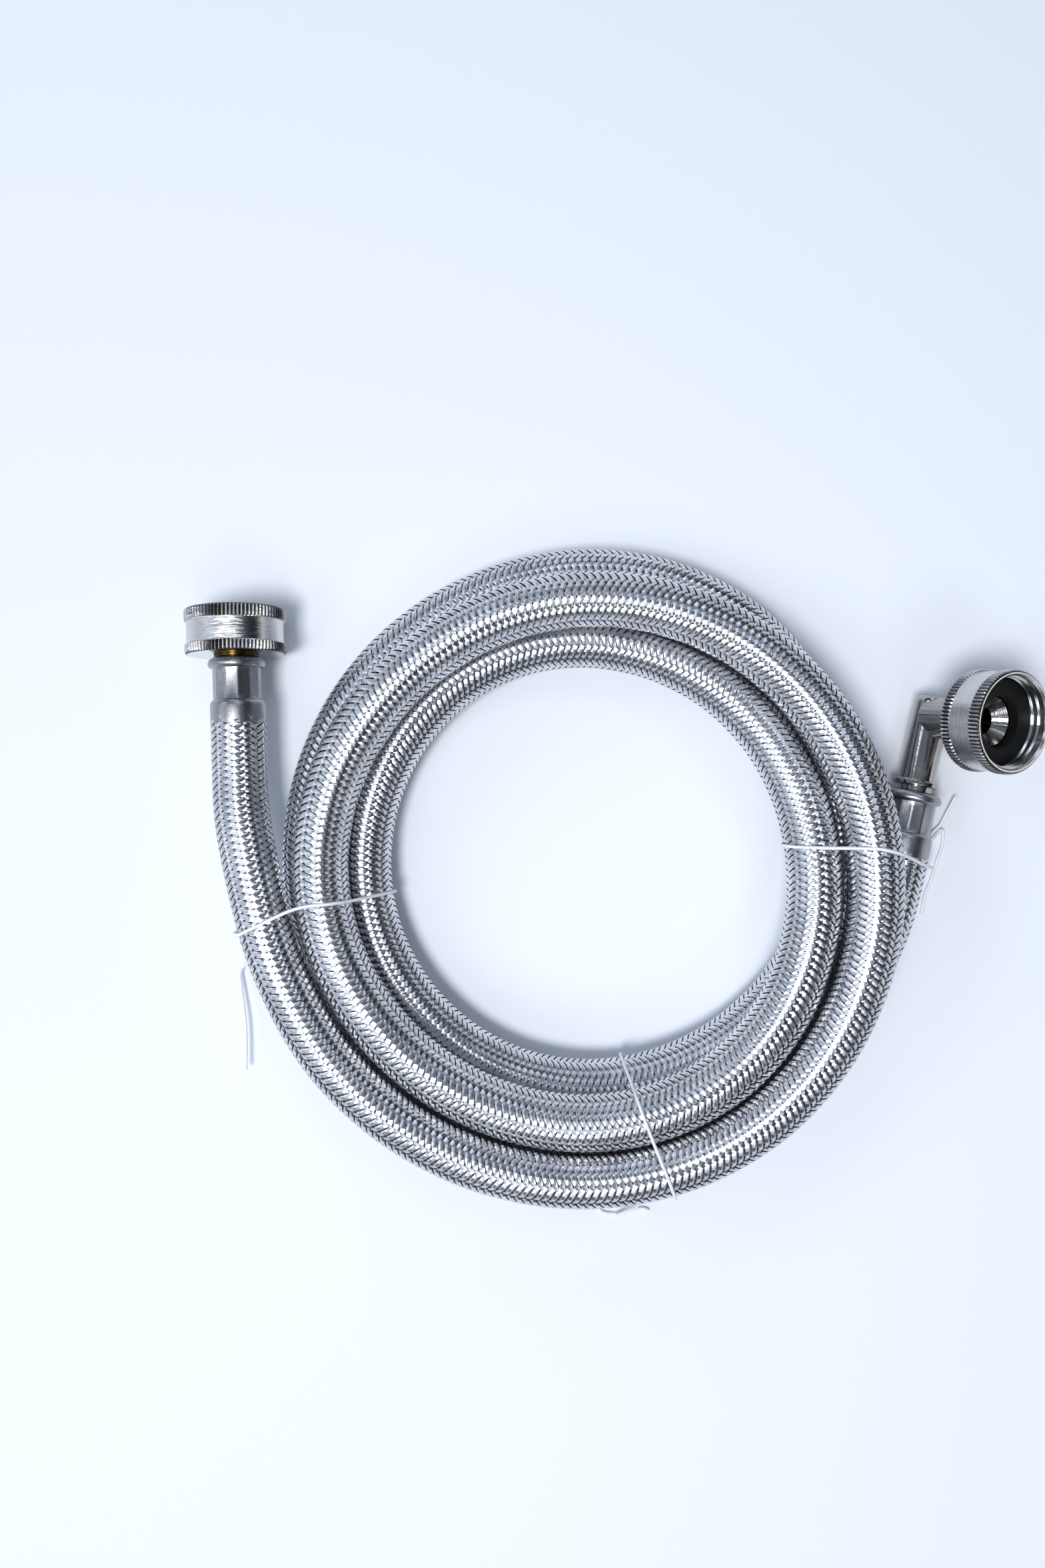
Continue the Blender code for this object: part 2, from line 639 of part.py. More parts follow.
def build():
    clear_scene()
    nickel = make_material("nickel plated brass", (0.62, 0.60, 0.58), 1.0, 0.22)
    stainless = make_material("pressed stainless steel", (0.50, 0.51, 0.53), 1.0, 0.35)
    braid = make_material("stainless wire braid", (0.58, 0.59, 0.61), 1.0, 0.30)
    brass = make_material("brass", (0.55, 0.40, 0.16), 1.0, 0.30)
    rubber = make_material("black rubber", (0.010, 0.011, 0.012), 0.0, 0.65)
    liner = make_material("grey hose rubber", (0.035, 0.036, 0.038), 0.0, 0.60)
    coating = make_material("white coated wire", (0.83, 0.86, 0.93), 0.0, 0.40)

    braid_sleeve(braid)
    inner_tube(liner)

    straight_end = add_empty("straight_end", COIL_CENTRE + STRAIGHT_MOUTH, lean_direction(STRAIGHT_LEAN))
    ferrule("straight_ferrule", stainless, straight_end)
    straight_tailpiece(brass, straight_end)
    washer("straight_washer", rubber, straight_end, STRAIGHT_NUT_BACK)
    coupling_nut("straight_coupling_nut", nickel, straight_end, STRAIGHT_NUT_BACK)

    leg_direction = lean_direction(ELBOW_LEAN)
    elbow_end = add_empty("elbow_end", COIL_CENTRE + ELBOW_MOUTH, leg_direction)
    ferrule("elbow_ferrule", stainless, elbow_end)
    leg_reach = ELBOW_COLLAR_BACK + ELBOW_COLLAR_THICKNESS + LEG_LENGTH
    corner = COIL_CENTRE + ELBOW_MOUTH + leg_direction * leg_reach
    level = Vector((leg_direction.y, -leg_direction.x, 0.0))
    nozzle_direction = level * math.cos(NOZZLE_ELEVATION) + Vector((0.0, 0.0, math.sin(NOZZLE_ELEVATION)))
    nozzle = add_empty("elbow_nozzle", corner, nozzle_direction)
    elbow_body(nickel, elbow_end, nozzle)
    washer("elbow_washer", rubber, nozzle, NOZZLE_NUT_BACK)
    coupling_nut("elbow_coupling_nut", nickel, nozzle, NOZZLE_NUT_BACK)

    route = hose_route()
    for name, tie in TIES.items():
        twist_tie(name, coating, route, tie)


build()
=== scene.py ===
"""A coiled washing machine fill hose: stainless braid, pressed ferrules, a straight and an elbow coupling.

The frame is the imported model. Lengths below are millimetres until a piece is placed, and metres after.
The hose lies in three and a half turns on a pale table, seen from straight above.
"""

import math

import bmesh
import bpy
import numpy as np
from mathutils import Matrix, Vector


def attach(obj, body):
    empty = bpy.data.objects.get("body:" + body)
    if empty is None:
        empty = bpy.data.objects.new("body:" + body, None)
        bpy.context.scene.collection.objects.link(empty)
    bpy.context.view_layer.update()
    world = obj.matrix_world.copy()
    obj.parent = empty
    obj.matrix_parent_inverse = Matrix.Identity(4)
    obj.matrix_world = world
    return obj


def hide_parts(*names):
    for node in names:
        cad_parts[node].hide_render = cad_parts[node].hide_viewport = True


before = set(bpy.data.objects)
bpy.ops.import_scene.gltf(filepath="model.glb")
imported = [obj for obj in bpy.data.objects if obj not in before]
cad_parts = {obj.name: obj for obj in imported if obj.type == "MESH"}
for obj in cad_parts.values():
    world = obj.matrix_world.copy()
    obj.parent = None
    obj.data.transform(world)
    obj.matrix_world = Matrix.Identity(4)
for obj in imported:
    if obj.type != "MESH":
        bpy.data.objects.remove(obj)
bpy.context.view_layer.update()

MM = 0.001


# Camera: a phone held level above the table, so every line of sight fans out from one point

CAMERA_POINT = Vector((-25.07, 31.92, 345.6))
FOCAL_LENGTH = 25.26
SENSOR = 36.0
NEAREST_SEEN = 0.01
FARTHEST_SEEN = 20.0


def set_camera():
    """A camera that looks straight down at the table."""
    lens = bpy.data.cameras.new("camera above the table")
    lens.lens = FOCAL_LENGTH
    lens.sensor_width = SENSOR
    lens.sensor_fit = "AUTO"
    lens.clip_start = NEAREST_SEEN
    lens.clip_end = FARTHEST_SEEN
    camera = bpy.data.objects.new("camera above the table", lens)
    bpy.context.scene.collection.objects.link(camera)
    camera.location = CAMERA_POINT * MM
    bpy.context.scene.camera = camera
    bpy.context.scene.view_settings.view_transform = "Standard"


set_camera()


# Hose route: the same points as the solids have

HOSE_RADIUS = 8.1
COIL_CENTRE = Vector((-4.97, 7.22, 0.0))
COIL_STEP = 18
COIL_FIRST_ANGLE = 198
COIL_LAST_ANGLE = 1422
SIXTH_OF_A_TURN = 60
COIL_START_ANGLE = 180

# The coil's lay: the axis's radius and height at each sixth of a turn
COIL_LAY = [
    (97.0, 22.2), (92.0, 25.0), (88.4, 26.2), (81.9, 28.0), (79.4, 26.3), (78.3, 24.8),
    (79.0, 25.3), (75.0, 26.1), (71.4, 27.9), (65.4, 23.7), (66.8, 13.7), (69.2, 10.0),
    (68.3, 10.1), (67.6, 9.7), (68.3, 9.6), (75.0, 9.5), (87.1, 9.7), (87.4, 9.5),
    (85.3, 9.5), (84.9, 9.5), (85.3, 9.5), (92.0, 9.5),
]
STRAIGHT_MOUTH = Vector((-105.5, 42.8, 14.85))
STRAIGHT_LEAN = math.radians(-1.8)
TAIL_ROUTE = [
    STRAIGHT_MOUTH,
    Vector((-105.1, 30.7, 15.2)),
    Vector((-104.1, 17.5, 16.9)),
    Vector((-100.2, -1.3, 19.8)),
]
ELBOW_MOUTH = Vector((95.4, 3.0, 9.5))
ELBOW_LEAN = math.radians(12.0)
ELBOW_ROUTE = [Vector((90.8, -15.9, 9.5)), Vector((93.4, -6.3, 9.5)), ELBOW_MOUTH]


def lean_direction(lean):
    """The level direction towards the back of the coil, leaning to +X by an angle."""
    return Vector((math.sin(lean), math.cos(lean), 0.0))


def catmull_rom(before, start, end, after, part):
    """A smooth value between start and end, at a part from 0 to 1 of the way."""
    return 0.5 * (
        2 * start
        + (end - before) * part
        + (2 * before - 5 * start + 4 * end - after) * part**2
        + (3 * start - before - 3 * end + after) * part**3
    )


def coil_point(angle):
    """The hose's axis at an angle of the winding in degrees, counted through all the turns."""
    position = (angle - COIL_START_ANGLE) / SIXTH_OF_A_TURN
    index = min(int(position), len(COIL_LAY) - 2)
    part = position - index
    stations = [COIL_LAY[min(max(k, 0), len(COIL_LAY) - 1)] for k in range(index - 1, index + 3)]
    radius, height = (catmull_rom(*values, part) for values in zip(*stations))
    turn = math.radians(angle)
    return Vector((radius * math.cos(turn), radius * math.sin(turn), height))


def hose_route():
    """Points of the hose's axis from the straight ferrule's mouth to the elbow ferrule's."""
    coil = [coil_point(angle) for angle in range(COIL_FIRST_ANGLE, COIL_LAST_ANGLE + 1, COIL_STEP)]
    return [COIL_CENTRE + point for point in TAIL_ROUTE + coil + ELBOW_ROUTE]


STEPS_BETWEEN_POINTS = 40


def smooth_line(points, start_way, end_way, spacing):
    """A smooth curve through points, as an array of points an even distance apart."""
    knots = np.array([tuple(point) for point in points])
    gaps = np.linalg.norm(np.diff(knots, axis=0), axis=1)
    ways = [np.array(start_way)]
    for i in range(1, len(knots) - 1):
        before = (knots[i] - knots[i - 1]) / gaps[i - 1]
        after = (knots[i + 1] - knots[i]) / gaps[i]
        ways.append((before * gaps[i] + after * gaps[i - 1]) / (gaps[i - 1] + gaps[i]))
    ways.append(np.array(end_way))
    line = []
    for i, gap in enumerate(gaps):
        part = np.linspace(0, 1, STEPS_BETWEEN_POINTS, endpoint=False)[:, None]
        line.append(
            knots[i] * (1 + 2 * part) * (1 - part) ** 2
            + knots[i + 1] * part**2 * (3 - 2 * part)
            + ways[i] * gap * part * (1 - part) ** 2
            - ways[i + 1] * gap * part**2 * (1 - part)
        )
    line = np.vstack(line + [knots[-1:]])
    along = np.concatenate([[0], np.cumsum(np.linalg.norm(np.diff(line, axis=0), axis=1))])
    even = np.linspace(0, along[-1], int(round(along[-1] / spacing)) + 1)
    return np.column_stack([np.interp(even, along, line[:, k]) for k in range(3)])


def carried_frames(line):
    """Two directions across a line at each of its points, turning as little as possible along it."""
    ways = np.gradient(line, axis=0)
    ways /= np.linalg.norm(ways, axis=1)[:, None]
    side = np.cross(ways[0], (0.0, 0.0, 1.0))
    sides = []
    for way in ways:
        side = side - np.dot(side, way) * way
        side = side / np.linalg.norm(side)
        sides.append(side)
    sides = np.array(sides)
    return sides, np.cross(sides, ways)


ROUTE_SPACING = 1.0
HOSE_LINE = smooth_line(
    hose_route(), -lean_direction(STRAIGHT_LEAN), lean_direction(ELBOW_LEAN), ROUTE_SPACING
)
HOSE_SIDES, HOSE_UPS = carried_frames(HOSE_LINE)
HOSE_LENGTH = float(np.linalg.norm(np.diff(HOSE_LINE, axis=0), axis=1).sum())
FIRST_WAY = -np.array(lean_direction(STRAIGHT_LEAN))
LAST_WAY = np.array(lean_direction(ELBOW_LEAN))


def on_hose(turn, along, radius):
    """World points in metres for places on the hose: an angle round it, a length along it, a radius."""
    inside = np.clip(along, 0.0, HOSE_LENGTH)
    place = inside / HOSE_LENGTH * (len(HOSE_LINE) - 1)
    low = np.clip(place.astype(int), 0, len(HOSE_LINE) - 2)
    part = (place - low)[:, None]
    centre = HOSE_LINE[low] * (1 - part) + HOSE_LINE[low + 1] * part
    side = HOSE_SIDES[low] * (1 - part) + HOSE_SIDES[low + 1] * part
    up = HOSE_UPS[low] * (1 - part) + HOSE_UPS[low + 1] * part
    centre = centre + np.minimum(along, 0.0)[:, None] * FIRST_WAY
    centre = centre + np.maximum(along - HOSE_LENGTH, 0.0)[:, None] * LAST_WAY
    radius = np.asarray(radius).reshape(-1, 1)
    points = centre + radius * (np.cos(turn)[:, None] * side + np.sin(turn)[:, None] * up)
    return points * MM


# Making pieces

AS_MADE = "as_made"
SAME_PLACE = 0.001
TURNED_SIDES = 96
CLEARANCE = 0.3


def finished(name, mesh, body, stands_for=(), smooth_angle=30):
    """Links a mesh that is already in its place, rides it on a body and hides the solids that it stands for.
    """
    if smooth_angle is not None:
        mesh.shade_smooth()
        mesh.set_sharp_from_angle(angle=math.radians(smooth_angle))
    piece = bpy.data.objects.new(name, mesh)
    bpy.context.scene.collection.objects.link(piece)
    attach(piece, body)
    if stands_for:
        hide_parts(*stands_for)
    return piece


def keep_as_made(bm):
    """Stores each vertex's millimetres on the lathe or press, for patterns that follow the piece."""
    layer = bm.verts.layers.float_vector.get(AS_MADE) or bm.verts.layers.float_vector.new(AS_MADE)
    for vertex in bm.verts:
        vertex[layer] = vertex.co


def set_in_place(bm, name, origin, direction):
    """Turns a piece made along Z to its fitting's direction, at its place in metres, as a mesh."""
    bmesh.ops.remove_doubles(bm, verts=bm.verts, dist=SAME_PLACE)
    bmesh.ops.recalc_face_normals(bm, faces=bm.faces)
    if bm.calc_volume(signed=True) < 0:
        bmesh.ops.reverse_faces(bm, faces=bm.faces)
    keep_as_made(bm)
    turn = direction.to_track_quat("Z", "Y").to_matrix().to_4x4()
    placing = Matrix.Scale(MM, 4) @ Matrix.Translation(origin) @ turn
    bmesh.ops.transform(bm, matrix=placing, verts=bm.verts)
    mesh = bpy.data.meshes.new(name)
    bm.to_mesh(mesh)
    bm.free()
    return mesh


def lathed(profile, steps, closed=True):
    """A bmesh turned round Z from a profile of radius and height; a closed one is a ring."""
    bm = bmesh.new()
    corners = [bm.verts.new((radius, 0.0, height)) for radius, height in profile]
    edges = [bm.edges.new(pair) for pair in zip(corners, corners[1:])]
    if closed:
        edges.append(bm.edges.new((corners[-1], corners[0])))
    bmesh.ops.spin(
        bm,
        geom=corners + edges,
        cent=(0.0, 0.0, 0.0),
        axis=(0.0, 0.0, 1.0),
        angle=2 * math.pi,
        steps=steps,
        use_merge=True,
    )
    bmesh.ops.remove_doubles(bm, verts=bm.verts, dist=SAME_PLACE / 2)
    return bm


def rounded(profile, radii, closed=True, points=4):
    """A profile with its corners rounded: one radius for each corner, 0 for a sharp one.
    A rounding takes less than half of the shorter side, so that two on one side stay apart."""
    out = []
    count = len(profile)
    for i, (corner, radius) in enumerate(zip(profile, radii)):
        here = Vector(corner)
        if radius == 0 or (not closed and i in (0, count - 1)):
            out.append(tuple(here))
            continue
        before = Vector(profile[i - 1]) - here
        after = Vector(profile[(i + 1) % count]) - here
        reach = min(radius, 0.48 * before.length, 0.48 * after.length)
        start = here + before.normalized() * reach
        end = here + after.normalized() * reach
        for k in range(points + 1):
            part = k / points
            out.append(tuple(start * (1 - part) ** 2 + here * 2 * part * (1 - part) + end * part**2))
    return out


# Colours and materials

# Patterns: how many grains or lines lie in a millimetre of the surface
WIRES_DRAWN = 5
WIRE_PATCHES = 0.09
RUBBER_SHADOW_GRAIN = 2.5
TOOL_LINES = 7.0
PLATE_PATCHES = 1.3
CAST_PEEL = 0.55
CAST_SMUDGES = 0.25
DRAW_LINES = 1.6
STAINLESS_GRAIN = 5.0
BRASS_LINES = 6.0
WASHER_SKIN = 3.0
LINER_GRAIN = 0.9
COAT_SCUFFS = 0.4


def colour(code):
    """A linear colour from an sRGB hex code."""
    channels = [int(code[i : i + 2], 16) / 255 for i in (1, 3, 5)]
    linear = [c / 12.92 if c <= 0.04045 else ((c + 0.055) / 1.055) ** 2.4 for c in channels]
    return (*linear, 1.0)


def new_material(name):
    """A new material, with its node tree and its shader."""
    material = bpy.data.materials.new(name)
    material.use_nodes = True
    tree = material.node_tree
    shader = tree.nodes["Principled BSDF"]
    return material, tree, shader


def set_node(tree, node, settings=None, links=None):
    """Gives a node's properties and sockets their settings, and links its sockets to outputs."""
    for key, value in (settings or {}).items():
        if isinstance(key, str) and hasattr(node, key):
            setattr(node, key, value)
        else:
            node.inputs[key].default_value = value
    for key, output in (links or {}).items():
        tree.links.new(output, node.inputs[key])


def add_node(tree, kind, settings=None, links=None):
    """Adds a node with its settings and links."""
    node = tree.nodes.new(kind)
    set_node(tree, node, settings, links)
    return node


def set_ramp(node, stops):
    """Stops of a colour ramp: position and sRGB hex."""
    ramp = node.color_ramp
    while len(ramp.elements) < len(stops):
        ramp.elements.new(0.5)
    for element, (position, code) in zip(ramp.elements, stops):
        element.position = position
        element.color = colour(code)


def woven_wire():
    """Stainless steel wire, drawn bright and braided in flat bundles: silver, with the wires' fine
    lines along each bundle. The lines are drawn five to a bundle of seven, so that they show."""
    material, tree, shader = new_material("woven stainless wire")
    uv = add_node(tree, "ShaderNodeUVMap", {"uv_map": "bundle"})
    parts = add_node(tree, "ShaderNodeSeparateXYZ", links={0: uv.outputs["UV"]})
    wires = add_node(
        tree, "ShaderNodeMath", {"operation": "MULTIPLY", 1: 2 * math.pi * WIRES_DRAWN},
        {0: parts.outputs["X"]},
    )
    wave = add_node(tree, "ShaderNodeMath", {"operation": "COSINE"}, {0: wires.outputs[0]})
    place = add_node(tree, "ShaderNodeTexCoord")
    patches = add_node(
        tree, "ShaderNodeTexNoise", {"Scale": WIRE_PATCHES / MM, "Detail": 2.0},
        {"Vector": place.outputs["Object"]},
    )
    tone = add_node(tree, "ShaderNodeValToRGB", links={"Fac": patches.outputs["Fac"]})
    set_ramp(tone, [(0.3, "#CACCD0"), (0.7, "#E2E4E7")])
    bump = add_node(
        tree, "ShaderNodeBump", {"Strength": 0.25, "Distance": 0.05 * MM}, {"Height": wave.outputs[0]}
    )
    wire_way = add_node(tree, "ShaderNodeTangent", {"direction_type": "UV_MAP", "uv_map": "bundle"})
    set_node(
        tree, shader, {"Anisotropic": 0.85, "Metallic": 1.0, "Roughness": 0.25},
        {
            "Base Color": tone.outputs["Color"],
            "Normal": bump.outputs["Normal"],
            "Tangent": wire_way.outputs["Tangent"],
        },
    )
    return material


def braid_shadow():
    """The braid's unlit inner layer over black rubber, which shows as dark pinholes between bundles."""
    material, tree, shader = new_material("shadowed rubber under the braid")
    place = add_node(tree, "ShaderNodeTexCoord")
    grain = add_node(
        tree, "ShaderNodeTexNoise", {"Scale": RUBBER_SHADOW_GRAIN / MM, "Detail": 2.0},
        {"Vector": place.outputs["Object"]},
    )
    tone = add_node(tree, "ShaderNodeValToRGB", links={"Fac": grain.outputs["Fac"]})
    set_ramp(tone, [(0.35, "#141518"), (0.7, "#232428")])
    set_node(
        tree, shader, {"Roughness": 0.7},
        {"Base Color": tone.outputs["Color"]},
    )
    return material


def turned_nickel():
    """Brass turned on a lathe and nickel plated: a bright neutral mirror with fine tool lines round it,
    patches that are a little duller, and painted shade low in the knurl's grooves."""
    material, tree, shader = new_material("turned nickel plate")
    made = add_node(tree, "ShaderNodeAttribute", {"attribute_name": AS_MADE})
    parts = add_node(tree, "ShaderNodeSeparateXYZ", links={0: made.outputs["Vector"]})
    stretch = add_node(tree, "ShaderNodeCombineXYZ", links={2: parts.outputs["Z"]})
    lines = add_node(
        tree, "ShaderNodeTexNoise", {"Scale": TOOL_LINES, "Detail": 3.0, "Roughness": 0.7},
        {"Vector": stretch.outputs[0]},
    )
    patches = add_node(
        tree, "ShaderNodeTexNoise", {"Scale": PLATE_PATCHES, "Detail": 6.0},
        {"Vector": made.outputs["Vector"]},
    )
    gloss = add_node(
        tree, "ShaderNodeMapRange", {"From Min": 0.35, "From Max": 0.75, "To Min": 0.07, "To Max": 0.17},
        {"Value": patches.outputs["Fac"]},
    )
    tone = add_node(tree, "ShaderNodeValToRGB", links={"Fac": patches.outputs["Fac"]})
    set_ramp(tone, [(0.3, "#D6D5D4"), (0.75, "#C6C5C3")])
    flat = add_node(tree, "ShaderNodeCombineXYZ", links={0: parts.outputs["X"], 1: parts.outputs["Y"]})
    radius = add_node(tree, "ShaderNodeVectorMath", {"operation": "LENGTH"}, {0: flat.outputs[0]})
    depth = add_node(
        tree, "ShaderNodeMapRange", {"From Min": GROOVE_SHADE_INNER_RADIUS, "From Max": GROOVE_SHADE_OUTER_RADIUS},
        {"Value": radius.outputs["Value"]},
    )
    low = add_node(tree, "ShaderNodeValToRGB", links={"Fac": depth.outputs[0]})
    set_ramp(low, [(0.0, "#000000"), (0.12, "#FFFFFF"), (0.35, "#FFFFFF"), (0.8, "#000000")])
    from_band = add_node(
        tree, "ShaderNodeMath", {"operation": "SUBTRACT", 1: NUT_BAND_MIDDLE}, {0: parts.outputs["Z"]}
    )
    apart = add_node(tree, "ShaderNodeMath", {"operation": "ABSOLUTE"}, {0: from_band.outputs[0]})
    in_knurl = add_node(
        tree, "ShaderNodeMath", {"operation": "GREATER_THAN", 1: NUT_BAND_WIDTH / 2 + KNURL_FOOT},
        {0: apart.outputs[0]},
    )
    groove = add_node(
        tree, "ShaderNodeMath", {"operation": "MULTIPLY"}, {0: low.outputs["Color"], 1: in_knurl.outputs[0]}
    )
    # Painted shade: the knurls are darkened low in their grooves, where shade falls between the teeth
    painted_groove_shade = add_node(
        tree, "ShaderNodeMix", {"data_type": "RGBA", "blend_type": "MIX", 7: colour("#38383B")},
        {0: groove.outputs[0], 6: tone.outputs["Color"]},
    )
    bump = add_node(
        tree, "ShaderNodeBump", {"Strength": 0.8, "Distance": 0.08 * MM}, {"Height": lines.outputs["Fac"]}
    )
    set_node(
        tree, shader, {"Metallic": 1.0},
        {"Base Color": painted_groove_shade.outputs[2], "Roughness": gloss.outputs[0], "Normal": bump.outputs["Normal"]},
    )
    return material


def cast_nickel():
    """Brass forged, polished and nickel plated: a mirror with the slight orange peel of a casting."""
    material, tree, shader = new_material("polished nickel plate")
    made = add_node(tree, "ShaderNodeAttribute", {"attribute_name": AS_MADE})
    peel = add_node(
        tree, "ShaderNodeTexNoise", {"Scale": CAST_PEEL, "Detail": 2.0}, {"Vector": made.outputs["Vector"]}
    )
    smudge = add_node(
        tree, "ShaderNodeTexNoise", {"Scale": CAST_SMUDGES, "Detail": 4.0}, {"Vector": made.outputs["Vector"]}
    )
    gloss = add_node(
        tree, "ShaderNodeMapRange", {"From Min": 0.3, "From Max": 0.75, "To Min": 0.07, "To Max": 0.2},
        {"Value": smudge.outputs["Fac"]},
    )
    bump = add_node(
        tree, "ShaderNodeBump", {"Strength": 0.5, "Distance": 0.1 * MM}, {"Height": peel.outputs["Fac"]}
    )
    set_node(
        tree, shader, {"Base Color": colour("#A8A5A1"), "Metallic": 1.0},
        {"Roughness": gloss.outputs[0], "Normal": bump.outputs["Normal"]},
    )
    return material


def pressed_stainless():
    """Stainless strip drawn and crimped: satin grey with fine draw lines along it and a sandy grain."""
    material, tree, shader = new_material("pressed stainless steel")
    made = add_node(tree, "ShaderNodeAttribute", {"attribute_name": AS_MADE})
    along = add_node(
        tree, "ShaderNodeMapping", {"Scale": (4.0, 4.0, 0.25)}, {"Vector": made.outputs["Vector"]}
    )
    lines = add_node(
        tree, "ShaderNodeTexNoise", {"Scale": DRAW_LINES, "Detail": 4.0}, {"Vector": along.outputs[0]}
    )
    grain = add_node(
        tree, "ShaderNodeTexNoise", {"Scale": STAINLESS_GRAIN, "Detail": 3.0},
        {"Vector": made.outputs["Vector"]},
    )
    gloss = add_node(
        tree, "ShaderNodeMapRange", {"From Min": 0.3, "From Max": 0.7, "To Min": 0.24, "To Max": 0.34},
        {"Value": grain.outputs["Fac"]},
    )
    tone = add_node(tree, "ShaderNodeValToRGB", links={"Fac": lines.outputs["Fac"]})
    set_ramp(tone, [(0.3, "#8C8E92"), (0.7, "#B0B2B6")])
    both = add_node(
        tree, "ShaderNodeMath", {"operation": "ADD"}, {0: lines.outputs["Fac"], 1: grain.outputs["Fac"]}
    )
    bump = add_node(
        tree, "ShaderNodeBump", {"Strength": 0.3, "Distance": 0.1 * MM}, {"Height": both.outputs[0]}
    )
    set_node(
        tree, shader, {"Metallic": 1.0},
        {
            "Base Color": tone.outputs["Color"],
            "Roughness": gloss.outputs[0],
            "Normal": bump.outputs["Normal"],
        },
    )
    return material


def turned_brass():
    """Free-cutting brass, turned, with tool lines round it: gold darkened with painted shade for the nut's
    shadow over it.
    """
    material, tree, shader = new_material("turned brass")
    made = add_node(tree, "ShaderNodeAttribute", {"attribute_name": AS_MADE})
    parts = add_node(tree, "ShaderNodeSeparateXYZ", links={0: made.outputs["Vector"]})
    stretch = add_node(tree, "ShaderNodeCombineXYZ", links={2: parts.outputs["Z"]})
    lines = add_node(
        tree, "ShaderNodeTexNoise", {"Scale": BRASS_LINES, "Detail": 2.0}, {"Vector": stretch.outputs[0]}
    )
    tone = add_node(tree, "ShaderNodeValToRGB", links={"Fac": lines.outputs["Fac"]})
    # Painted shade: the gold is darkened for the shadow that the coupling nut casts on the collar
    set_ramp(tone, [(0.3, "#584422"), (0.7, "#7C6332")])
    bump = add_node(
        tree, "ShaderNodeBump", {"Strength": 0.3, "Distance": 0.05 * MM}, {"Height": lines.outputs["Fac"]}
    )
    set_node(
        tree, shader, {"Metallic": 1.0, "Roughness": 0.25},
        {"Base Color": tone.outputs["Color"], "Normal": bump.outputs["Normal"]},
    )
    return material


def moulded_rubber():
    """Nitrile rubber, moulded: near black and matt, with a fine mottled skin."""
    material, tree, shader = new_material("moulded washer rubber")
    made = add_node(tree, "ShaderNodeAttribute", {"attribute_name": AS_MADE})
    skin = add_node(
        tree, "ShaderNodeTexNoise", {"Scale": WASHER_SKIN, "Detail": 5.0}, {"Vector": made.outputs["Vector"]}
    )
    tone = add_node(tree, "ShaderNodeValToRGB", links={"Fac": skin.outputs["Fac"]})
    set_ramp(tone, [(0.35, "#0A0B0C"), (0.75, "#141516")])
    gloss = add_node(
        tree, "ShaderNodeMapRange", {"From Min": 0.3, "From Max": 0.7, "To Min": 0.42, "To Max": 0.62},
        {"Value": skin.outputs["Fac"]},
    )
    bump = add_node(
        tree, "ShaderNodeBump", {"Strength": 0.25, "Distance": 0.1 * MM}, {"Height": skin.outputs["Fac"]}
    )
    set_node(
        tree, shader, {"Specular IOR Level": 0.2},
        {
            "Base Color": tone.outputs["Color"],
            "Roughness": gloss.outputs[0],
            "Normal": bump.outputs["Normal"],
        },
    )
    return material


def hose_liner():
    """Extruded EPDM tube: dark grey and dull, with a fine grain."""
    material, tree, shader = new_material("extruded liner rubber")
    place = add_node(tree, "ShaderNodeTexCoord")
    grain = add_node(
        tree, "ShaderNodeTexNoise", {"Scale": LINER_GRAIN / MM, "Detail": 3.0},
        {"Vector": place.outputs["Object"]},
    )
    tone = add_node(tree, "ShaderNodeValToRGB", links={"Fac": grain.outputs["Fac"]})
    set_ramp(tone, [(0.3, "#2B2C2F"), (0.7, "#3B3C40")])
    bump = add_node(
        tree, "ShaderNodeBump", {"Strength": 0.2, "Distance": 0.1 * MM}, {"Height": grain.outputs["Fac"]}
    )
    set_node(
        tree, shader, {"Roughness": 0.65},
        {"Base Color": tone.outputs["Color"], "Normal": bump.outputs["Normal"]},
    )
    return material


def coated_wire():
    """Soft iron wire in a white plastic coat: smooth and waxy, with small scuffs that dull it."""
    material, tree, shader = new_material("white coated tie wire")
    place = add_node(tree, "ShaderNodeTexCoord")
    scuffs = add_node(
        tree, "ShaderNodeTexNoise", {"Scale": COAT_SCUFFS / MM, "Detail": 4.0},
        {"Vector": place.outputs["Object"]},
    )
    tone = add_node(tree, "ShaderNodeValToRGB", links={"Fac": scuffs.outputs["Fac"]})
    set_ramp(tone, [(0.3, "#F0F3F9"), (0.7, "#FCFDFE")])
    bump = add_node(
        tree, "ShaderNodeBump", {"Strength": 0.2, "Distance": 0.1 * MM}, {"Height": scuffs.outputs["Fac"]}
    )
    set_node(
        tree, shader, {"Roughness": 0.35},
        {"Base Color": tone.outputs["Color"], "Normal": bump.outputs["Normal"]},
    )
    return material


def table_top():
    """The pale table: a matt sheet that keeps the hose's soft shadow."""
    material, tree, shader = new_material("pale table")
    set_node(tree, shader, {"Base Color": colour("#F2F6FE"), "Roughness": 0.8})
    return material


# Braid: a flat sheet of bundles, wrapped on the hose

BUNDLES_EACH_WAY = 12
BRAID_LEAD = 25.5
BUNDLE_WIDTH = 1.40
BUNDLE_SPACING = 10.0
BRAID_PIECES = 4
BRAID_TUCK = 2.0
BRAID_MIDDLE = 7.86
BRAID_WAVE = 0.26
WAVE_SQUARENESS = 0.8
WAVES_IN_A_TURN = 2 * BUNDLES_EACH_WAY / 4
BUNDLE_CROWN = 0.10
FACES_ACROSS_BUNDLE = 3
STEPS_PER_LEAD = 48
CORE_RADIUS = 7.5
CORE_SIDES = 16
CORE_RING_SPACING = 4


